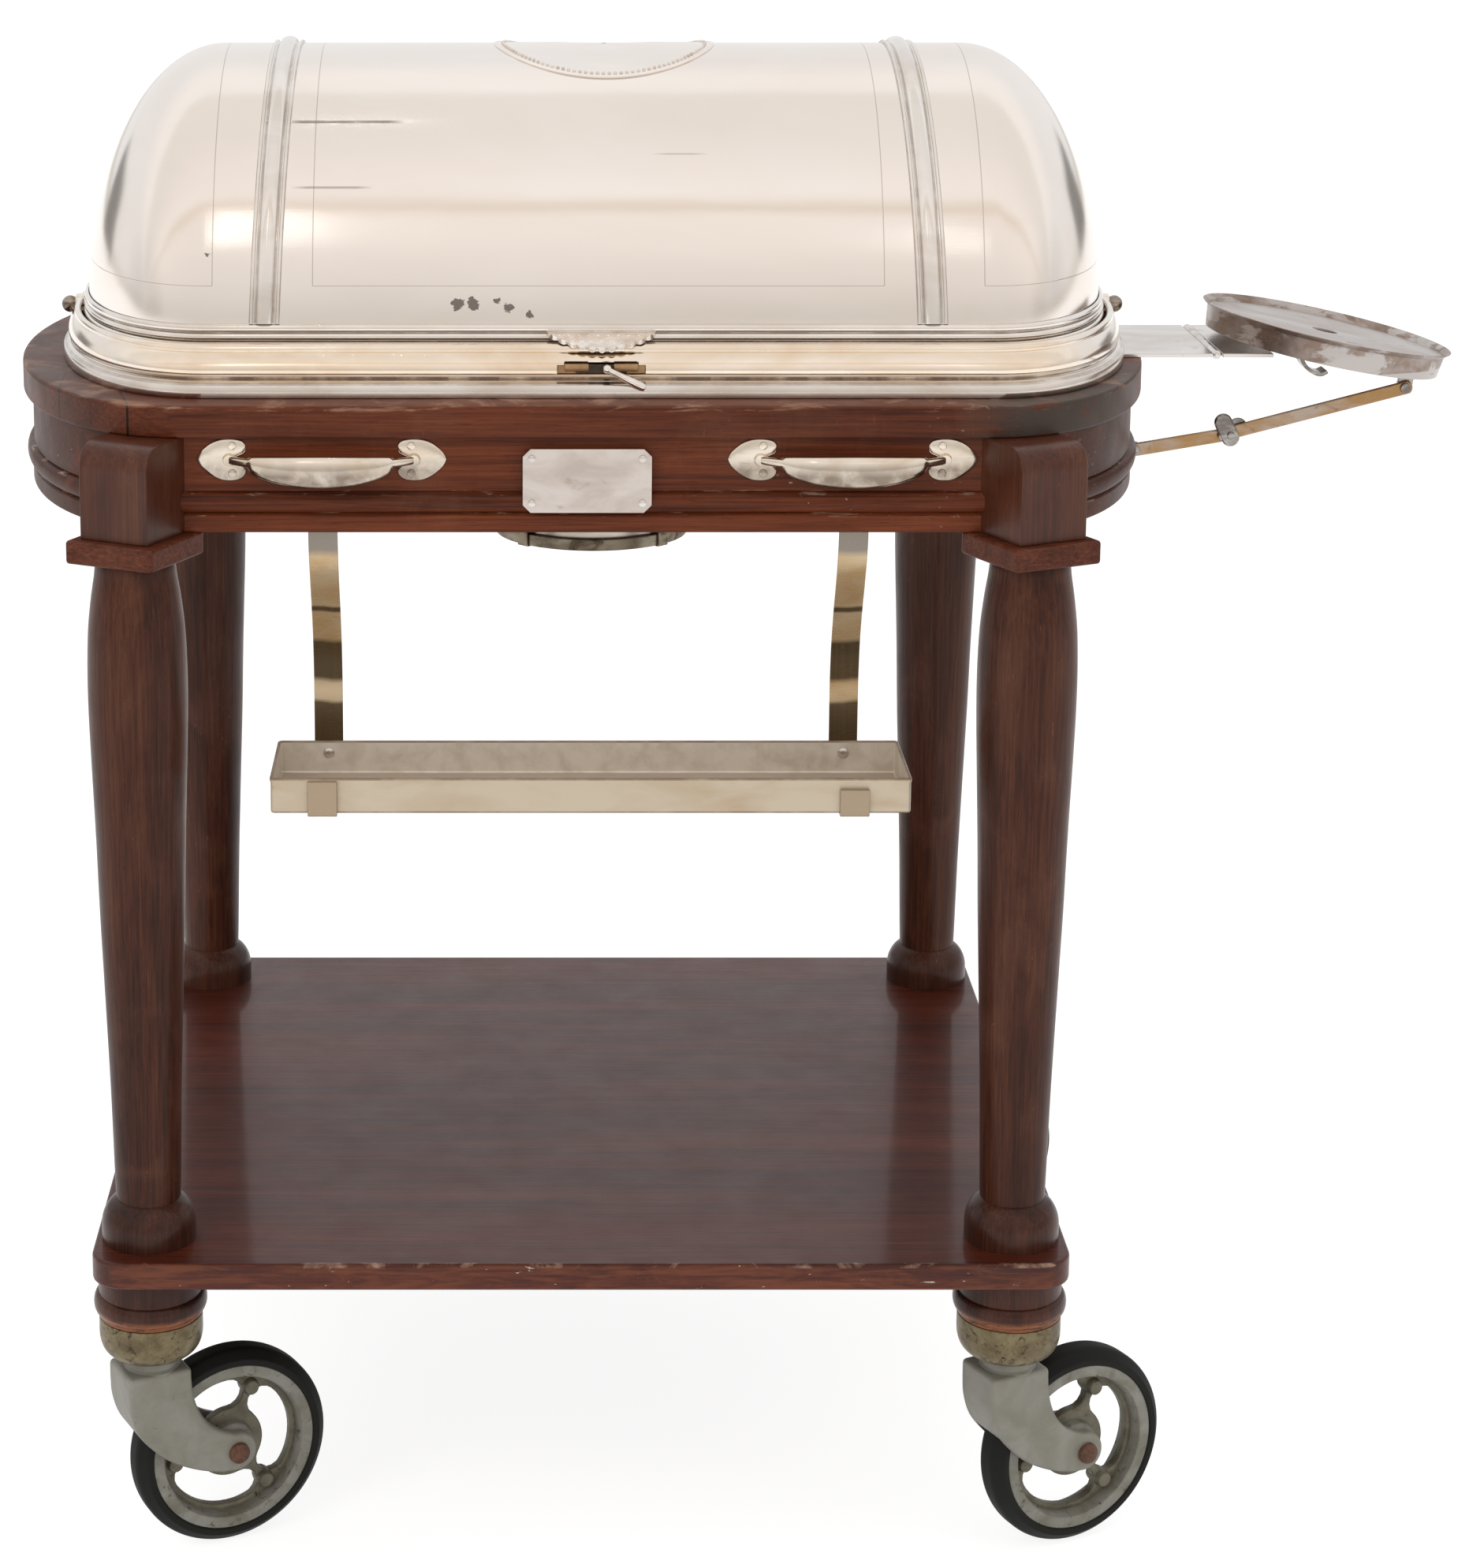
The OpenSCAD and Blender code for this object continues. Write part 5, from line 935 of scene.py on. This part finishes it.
# %% Catch
LEVER_AT = (17.5, -235, 891.5)
ball = [(3.2 * math.sin(a), 3.2 * math.cos(a)) for a in np.linspace(np.pi, math.asin(2.1 / 3.2), 14)]
lever_line = ball + [(2.0, 5), (2.5, 12), (3.1, 24), (3.1, 28), (2.2, 30.4), (0, 31)]
forward, down = math.radians(15), math.radians(25)
lever_way = (math.cos(forward) * math.cos(down), -math.sin(forward), -math.cos(forward) * math.sin(down))
turned("catch_lever", lever_line, BRIGHT, "catch", LEVER_AT, lever_way, 32)
turned("catch_stem", [(0, 0), (2, 0), (2, 9.3), (0, 9.3)], DARK, "catch", LEVER_AT, (0, 1, 0), 24, slot="silver_plate")
for s in (-1, 1):
    turned(f"catch_barrel_{s + 1}", [(0, -8.5), (2.8, -8.5, 0.6), (2.8, 8.5, 0.6), (0, 8.5)], WINDOW,
           at=(13.5 + 17.5 * s, -228.3, 891.5), axis=(1, 0, 0), count=32)
for k, (x0, x1, finish) in enumerate(((-17.7, -4.5, WINDOW), (-4.4, 31.4, DARK), (31.5, 44.7, WINDOW))):
    edged(f"catch_plate_{k}", box_prism((x0, -228.3, 887.3), (x1, -225.3, 893.2)), finish, bevel=0.3)

# %% [markdown]
# ## Inside the well
# Under the dome a hot-water pan hangs from the pivots, with the carving dish on it and a
# spirit lamp in a ring below. Only the ring shows from the front.

# %% Pan, dish, hangers, ring and lamp
def pan(name, profile):
    """(out from the pan's side, height) corners carried round the pan's own oval, with a floor that closes."""
    rings = [(UNIT_C, 262, 90 + out, 172 + out, z) for out, z in rounded(profile)]
    ends = [(UNIT_C, 262, 1, 0.5, rings[k][4]) for k in (0, -1)]
    ovals(name, [ends[0], *rings, ends[1]], WELL_METAL)

pan("water_pan", [(-60, 835), (0, 835, 6), (0, 891.5, 1), (8, 891.5, 0.4), (8, 893, 0.4), (-1.5, 893, 0.8), (-1.5, 836.5, 5),
                  (-60, 836.5)])
pan("carving_dish", [(-60, 879), (-4, 879, 5), (-4, 893.1, 0.5), (6, 893.1, 0.3), (6, 894.5, 0.5), (-5.5, 894.5, 0.8),
                     (-5.5, 880.5, 4), (-60, 880.5)])
ring_line = rounded([(72.5, 721, 0.6), (75, 721, 0.8), (75, 730, 0.8), (72.5, 730, 0.6)], closed=True)
turned("burner_ring", ring_line, RING_METAL, at=(UNIT_C, 0, 0), closed=True)
clip = strip([(60, 720.6), (75.9, 720.6), (75.9, 834), (62, 834)], 1.7)
for k in range(4):
    a = math.radians(45 + 90 * k)
    outward, aside = np.array([math.cos(a), math.sin(a), 0]), np.array([-math.sin(a), math.cos(a), 0])
    slab(f"burner_clip_{k}", clip, 10, RING_METAL, at=5 * aside + [UNIT_C, 0, 0], across=outward, bevel=0.4)
lamp_line = [(0, 721.4), (65, 721.4, 3), (70, 724, 3), (71, 729, 3), (71, 749, 4), (68, 755, 3), (57, 758, 2), (22, 760, 2),
             (22, 767, 1), (6, 768, 1), (6, 763), (0, 763)]
turned("spirit_burner", lamp_line, WELL_METAL, at=(UNIT_C, 0, 0))
hangers = frame["nodes"]["pan_hangers"].data.materials
hangers.clear()
hangers.append(WELL_METAL.material)

# %% [markdown]
# ## Pulls and nameplate
# Each pull is a bail: a curved grip, flat above and deeper in the middle of its lower edge,
# that springs from two cast leaves screwed to the frieze. The plate between the pulls is
# blank, with clipped corners and four pins.

# %% Pulls
leaf = smooth_line([(35, 0), (33.6, 3.4), (30.8, 7), (24.5, 12), (17.5, 15), (10.2, 15.5), (4.2, 14), (0.8, 10.4), (0.9, 5.6),
                    (3.2, 3.6), (6.5, 2.4)], 4)
leaf = np.concatenate([leaf, (leaf * [1, -1])[::-1][:-1]])
# The leaf is stamped hollow: its face rises from a thin edge to 2.6 mm, as the square root of 1 - k squared
share = np.array([1.0, 1.0, 0.97, 0.9, 0.78, 0.6, 0.38, 0.15, 0.005])
rise = np.where(share < 1, 0.7 + 1.9 * np.sqrt(1 - share ** 2), [0.0, 0.7] + [0.0] * 7)[:, None]
dome_leaf = [15.0, 0.0] + (leaf - [15.0, 0.0]) * share[:, None, None]
u, t = np.linspace(-1, 1, 161)[:, None], np.linspace(0, 2 * np.pi, 24, endpoint=False)
arch = np.cos(np.pi / 2 * np.clip(np.abs(u) / 0.76, 0, 1)) ** 0.6
swell = np.clip((0.80 - np.abs(u)) / 0.05, 0, 1)
swell = swell ** 2 * (3 - 2 * swell)
tall, thick = 3.0 + swell * (2.4 + 6.0 * arch), 2.9 + swell * (0.7 + 1.6 * arch)
sag, depth = swell * (0.9 + 4.3 * arch), -4 - 19 * (1 - np.abs(u) ** 3.2)
grip = grid_of(65 * u, depth + thick * np.cos(t), tall * np.sin(t) - sag)

def screw(name, at, r, high=1.2, finish=STAND_METAL):
    """A round head that faces the front, with a soft edge."""
    head = [(0, 0), (r, 0, 0.1), (r * 0.94, high * 0.6, 0.4), (r * 0.4, high, 1.0), (0, high)]
    return turned(name, head, finish, at=at, axis=(0, -1, 0), count=24, steps=3, slot="dull_silver")

for s, side in ((-1, "left"), (1, "right")):
    middle = np.array([3 + s * 187, -261.0, 832.0])
    surface(f"pull_grip_{side}", middle + grip, PULL_METAL, caps=True)
    for m in (-1, 1):
        leaf_grid = grid_of(m * dome_leaf[..., 0], -rise, dome_leaf[..., 1])
        surface(f"pull_leaf_{side}_{m + 1}", middle + [m * 53, 0, 0] + leaf_grid, PULL_METAL, caps=True, angle=60)
        turned(f"pull_foot_{side}_{m + 1}", [(0, 0), (5.4, 0, 0), (4.4, 2.4, 1.5), (3.8, 5, 0), (0, 5)], PULL_METAL,
               at=middle + [m * 65, -1, 0], axis=(0, -1, 0), count=32)
        for v in (-1, 1):
            screw(f"pull_screw_{side}_{m + 1}_{v + 1}", middle + [m * 63, -2.4, v * 9.8], 3.0, finish=PULL_METAL)

# %% Nameplate
LABEL_HALF, LABEL_H, CLIPPED = 45.5, 46, 5.5
label = [(-LABEL_HALF + CLIPPED, 0), (LABEL_HALF - CLIPPED, 0), (LABEL_HALF, CLIPPED), (LABEL_HALF, LABEL_H - CLIPPED),
         (LABEL_HALF - CLIPPED, LABEL_H), (-LABEL_HALF + CLIPPED, LABEL_H), (-LABEL_HALF, LABEL_H - CLIPPED), (-LABEL_HALF, CLIPPED)]
slab("nameplate", label, 1.5, LABEL_METAL, at=(3, -266.3, 794.5), bevel=0.4)
for m in (-1, 1):
    for v in (0, 1):
        screw(f"nameplate_pin_{m + 1}_{v}", (3 + m * 39, -267.8, 801.5 + v * 32), 2.8, 1.5)

# %% [markdown]
# ## Trough and straps
# The trough is folded sheet with a turned lip. Two brassy straps come down from inside the
# apron in a lazy S, pass behind and under it and end as clips on its front.

# %% Trough and straps
TROUGH_BOX, FLOOR_TOP = (-222, 234, -284, -189), 580.5
trough_line = rounded([(20, 579), (0, 579, 2), (0, 601.5, 0), (-0.5, 602.6, 0.4), (-0.5, 604.6, 0.5), (0.4, 605, 0.3),
                       (1.5, 605, 0.6), (1.5, FLOOR_TOP, 2), (20, FLOOR_TOP)])
rings = []
for inset, z in trough_line:
    x0, x1, y0, y1 = np.array(TROUGH_BOX) + [inset, -inset, inset, -inset]
    rings.append([(*point, z) for point in round_box(x0, x1, y0, y1, max(3.0 - inset, 0.8), 6)])
rings = np.array(rings)
under, over = (np.broadcast_to(rings[0].mean(0), rings[0].shape).copy() for _ in range(2))
over[:, 2] = FLOOR_TOP
surface("trough", np.concatenate([under[None], rings, over[None]]), TROUGH_METAL)
strap_path = smooth_line([(-239.5, 835), (-239.5, 800), (-239.5, 775), (-234, 755), (-222, 732), (-206, 706), (-194, 680),
                          (-188.6, 655), (-187.5, 635), (-187.5, 600), (-187.5, 582)], 6)
strap_turn = [(-188.2, 578.2), (-190.5, 577.5), (-282.5, 577.5), (-284.8, 578.2), (-285.5, 580.5)]
for side, cx, clip_top in (("left", -185, 603), ("right", 194, 597)):
    path = np.concatenate([strap_path, strap_turn, [(-285.5, clip_top)]])
    slab(f"strap_{side}", strip(path, 2.6), 21, STRAP_METAL, at=(cx - 10.5, 0, 0), across=(0, 1, 0), bevel=0.6)
    screw(f"strap_screw_{side}", (cx, -190.3, 596), 4.2, 1.8)

# %% [markdown]
# ## Plate stand
# A flat arm lies on the board and carries a hinge with five knuckles. The leaf beyond it
# narrows to a tongue that slopes down under the dish and ends in a curled tab. A stay of two
# flat bars holds it level: they meet at an elbow, where a small capsule-shaped catch locks
# them. The dish is spun sheet with a flat floor, a flared lip, a plain skirt and a hole in
# the middle.

# %% Arm, leaf and hinge
HINGE_X, STAND_Y, HINGE_Z, TILT = 483.0, -10.0, 872.2, math.radians(11.3)
downhill, square_up = np.array([math.cos(TILT), -math.sin(TILT)]), np.array([math.sin(TILT), math.cos(TILT)])
dish_mid = np.array([579.0, 885.7])
dish_under = dish_mid - 20 * square_up
edged("stand_arm", box_prism((404, -75, 871), (479.4, 55, 874)), STAND_METAL, bevel=0.5)
edged("stand_leaf", box_prism((486.6, -75, 871), (525, 55, 874)), STAND_METAL, "plate_stand", bevel=0.5)
for k in range(5):
    y0 = STAND_Y - 60 + 24 * k + 0.3
    owner, x0, x1 = ("frame", 478.4, HINGE_X - 1.8) if k % 2 == 0 else ("plate_stand", HINGE_X + 1.8, 487.6)
    turned(f"hinge_knuckle_{k}", [(1.65, 0), (3.4, 0, 0.4), (3.4, 23.4, 0.4), (1.65, 23.4)], STAND_METAL, owner,
           (HINGE_X, y0, HINGE_Z), (0, 1, 0), 32, closed=True)
    edged(f"hinge_web_{k}", box_prism((x0, y0, 871.1), (x1, y0 + 23.4, 873.4)), STAND_METAL, owner, bevel=0.2)
bend = dish_under - (dish_under[1] - 874) / downhill[1] * downhill
leaf_end = dish_under + 22 * downhill
tongue = [(524.5, 874), bend, leaf_end, leaf_end - 3 * square_up, (bend[0], 871), (524.5, 871)]
upright("leaf_tongue", tongue, -40, 20, STAND_METAL, "plate_stand", bevel=0.4)
curl = smooth_line(dish_under + [(-14, -4), (-11.5, -11), (-7.5, -16.5), (-2, -20.2), (3, -21.4), (8, -19.2)], 5)
upright("leaf_tab", strip(curl, 2.8), -4, 16, CATCH_METAL, "plate_stand", bevel=0.4, slot="dull_silver")

# %% Stay, lugs and pins
PIN_D, LUG, ELBOW = dish_under + 72 * downhill - 17 * square_up, np.array([434.0, 787.0]), np.array([507.0, 799.5])
upright("stay_lower", long_round(LUG, ELBOW, 6, 5.25), -13.3, -10.3, BAR_METAL, "lower_stay", bevel=1.3)
upright("stay_upper", long_round(ELBOW, PIN_D, 6, 5.25), -10, -7, BAR_METAL, "upper_stay", bevel=1.3)
upright("stay_catch", long_round(ELBOW + [0, -2], ELBOW + [-6, 10], 7), -18.1, -13.6, CATCH_METAL, "stay_latch", bevel=1.8,
        segments=4)
upright("stay_elbow_plate", ring_of(7.2, ELBOW + [7.5, 4.5], 0, 345), -6.9, -4.9, CATCH_METAL, "upper_stay", slot="dull_silver")
plate_up = [*ring_of(6, PIN_D, 168.7, 348.7, 20), PIN_D + 5 * downhill + 30.3 * square_up, PIN_D - 5 * downhill + 30.3 * square_up]
upright("dish_lug", plate_up, -6.7, -2.7, DISH_METAL, "plate_stand")
lug_tab = [(426.6, 782), (434, 781.4), *ring_of(5.8, LUG, -75, 75, 12), (434, 792.6), (426.6, 792)]
upright("apron_lug", lug_tab, -10, -6, DISH_METAL)
edged("apron_lug_plate", box_prism((425.1, -21.3, 781.4), (426.8, 2.7, 792.6)), STAND_METAL, bevel=0.5)

def stepped(length):
    """A pin with a head: radius 4 for 1.6 mm, then radius 2."""
    return [(0, 0), (4, 0, 0.6), (4, 1.6), (2, 1.6), (2, length), (0, length)]

for name, line, finish, body, (x, y, z), slot in (
        ("stand_hinge_pin", [(0, 0), (1.6, 0, 0.4), (1.6, 122, 0.4), (0, 122)], STAND_METAL, "frame", (HINGE_X, -71, HINGE_Z), None),
        ("stay_catch_pin", [(0, 0), (3, 0, 0.6), (3, 1.8), (2, 1.8), (2, 9), (0, 9)], CATCH_METAL, "stay_latch",
         (507, -19.6, 799.5), None),
        ("stay_catch_stop", [(0, 0), (3, 0, 0.5), (3, 2.4, 0.5), (0, 2.4)], CATCH_METAL, "stay_latch", (500.5, -17.5, 798.5), None),
        ("stay_upper_rivet", [(0, 0), (4, 0), (4, 2.4, 0.8), (0, 2.6)], STAND_METAL, "upper_stay", (507, -8, 799.5), None),
        ("dish_lug_pin", stepped(5.2), CATCH_METAL, "plate_stand", (PIN_D[0], -11.9, PIN_D[1]), "dull_silver"),
        ("apron_lug_pin", stepped(5.6), CATCH_METAL, "frame", (434, -15.2, 787), "dull_silver")):
    turned(name, line, finish, body, (x, y, z), (0, 1, 0), 24, slot=slot)

# %% Plate dish
dish_line = rounded([(9.7, -6.5, 0.4), (89.8, -6.5, 0), (88.1, -20, 0), (89.5, -20, 0.3), (91.3, -6.5, 0), (91.9, -3.8, 1.0),
                     (95.2, -1.3, 0.6), (96, -0.5, 0.4), (95.6, 0, 0.3), (94.2, 0, 0.6), (90.6, -3, 1.2), (89.7, -5, 0.9),
                     (9.7, -5, 0.4)], closed=True)
turned("plate_dish", dish_line, DISH_METAL, "plate_stand", (dish_mid[0], STAND_Y, dish_mid[1]), (square_up[0], 0, square_up[1]),
       144, closed=True)

# %% [markdown]
# ## Floor, light and background
# A studio for silver is a white tent: the metal shows whatever surrounds it, so the world is
# pale with a slightly darker horizon, and its bands give the long highlights. Broad soft boxes
# light the trolley without showing in the metal, and three small lamps do show in it. The
# floor is near white to the camera and keeps the object's shadow.

# %% Floor
WHITE, PAPER_GREY, SEEN_GREY = (1, 1, 1, 1), (0.86, 0.86, 0.86, 1), (0.30, 0.30, 0.30, 1)
floor_mesh = bpy.data.meshes.new("studio_floor")
floor_mesh.from_pydata([(-20, -20, 0), (20, -20, 0), (20, 20, 0), (-20, 20, 0)], [], [(0, 1, 2, 3)])
floor_paint = bpy.data.materials.new("white_paper")
floor_paint.use_nodes = True
tree = floor_paint.node_tree
tree.nodes.clear()
path = add(tree, "LightPath")
seen = either([Signal(tree, path.outputs[f"Is {ray} Ray"]) for ray in ("Camera", "Glossy", "Transmission")])
paper = seen.node("BsdfDiffuse", {"Color": mix(seen, PAPER_GREY, SEEN_GREY)})
glow = seen.node("Emission", {"Color": WHITE, "Strength": seen * 0.84})
add(tree, "OutputMaterial", {"Surface": seen.node("AddShader", {0: paper, 1: glow})})
floor_mesh.materials.append(floor_paint)
floor = put("studio_floor", floor_mesh)

# %% World
sky = bpy.data.worlds.new("studio")
scene.world = sky
sky.use_nodes = True
tree = sky.node_tree
tree.nodes.clear()
way = Signal(tree, add(tree, "TexCoord").outputs["Generated"])
x, y, z = (way.node("SeparateXYZ", {"Vector": way}, k) for k in "XYZ")
# The tent runs over the trolley from front to back: 0 is level at the front, 0.5 overhead, 1 level at the back
wobble = way.node("TexNoise", {"Vector": way, "Scale": 3.0, "Detail": 4.0}, "Fac")
over = (wobble - 0.5) * 0.035 + z.math("ARCTAN2", y * -1.0) / math.pi
room = over.ramp((0.0, "#D8D4CE"), (0.036, "#DEDAD5"), (0.106, "#EEEAE7"), (0.21, "#F9F4F0"), (0.268, "#FBF6F2"),
                 (0.273, "#DCCDBD"), (0.282, "#E9DDD0"), (0.296, "#F6F0E9"), (0.314, "#FFFCFA"), (0.383, "#FAF6F4"),
                 (0.50, "#F2F0ED"), (0.625, "#F1EFEC"), (0.636, "#FFFFFF"), (0.70, "#FFFEFD"), (0.792, "#F3F4F6"), (1.0, "#F2F2F2"))
# To the sides the tent ends: the dome's ends mirror a darker room low down
aside = abs(x)
room = mix(aside.step(0.90, 0.985) * z.step(0.40, 0.02) * 0.25, room, "#6E665E")
# Behind on each side stands a dark door, which shows as a narrow upright streak near the dome's and rim's ends
door = aside.ramp((0.50, 0.0), (0.53, 1.0), (0.70, 1.0), (0.73, 0.0)) * y.step(0.0, 0.05) * z.step(0.16, 0.10)
room = mix(door * 0.75, room, "#3A342E")
backdrop = mix(Signal(tree, add(tree, "LightPath").outputs["Is Camera Ray"]), room, WHITE)
add(tree, "OutputWorld", {"Surface": way.node("Background", {"Color": backdrop, "Strength": 1.0})})

# %% Lamps
def softbox(name, at, to, size, power, mirrored=False):
    """A lamp that faces a point: a rectangle, or a rounded one that shows in the silver."""
    lamp = bpy.data.lights.new(name, "AREA")
    lamp.shape = "ELLIPSE" if mirrored else "RECTANGLE"
    lamp.size, lamp.size_y, lamp.energy = *size, power
    holder = put(name, lamp)
    holder.location = at
    holder.rotation_euler = (Vector(to) - Vector(at)).to_track_quat("-Z", "Y").to_euler()
    holder.visible_glossy = mirrored

AIM = (0, 0, 0.8)
softbox("key_left", (-2.2, -2.4, 2.3), AIM, (1.6, 1.6), 24)
softbox("fill_right", (2.6, -1.8, 1.7), AIM, (1.4, 1.8), 10)
softbox("top", (0, 0.2, 3.2), AIM, (2.6, 1.6), 14)
# Three small lamps show in the silver: a spark on the long dent and a soft glow near each end of the barrel.
# Each stands where the dome mirrors it to the camera: from a point of the dome along the reflected line of sight.
for label, spot, reflected, away, size, power in (
        ("spark", (-162, -127, 1055.6), (-0.0446, 0.0895, 0.995), 2.2, (0.020, 0.003), 0.03),
        ("glow_left", (-252.4, -182.3, 984.5), (-0.0814, -0.7453, 0.6618), 2.6, (0.11, 0.8), 0.32),
        ("glow_right", (279.8, -185.9, 976.4), (0.13, -0.7982, 0.5882), 2.6, (0.10, 0.6), 0.08)):
    softbox(label, tuple(world(spot) + away * np.array(reflected)), tuple(world(spot)), size, power, mirrored=True)
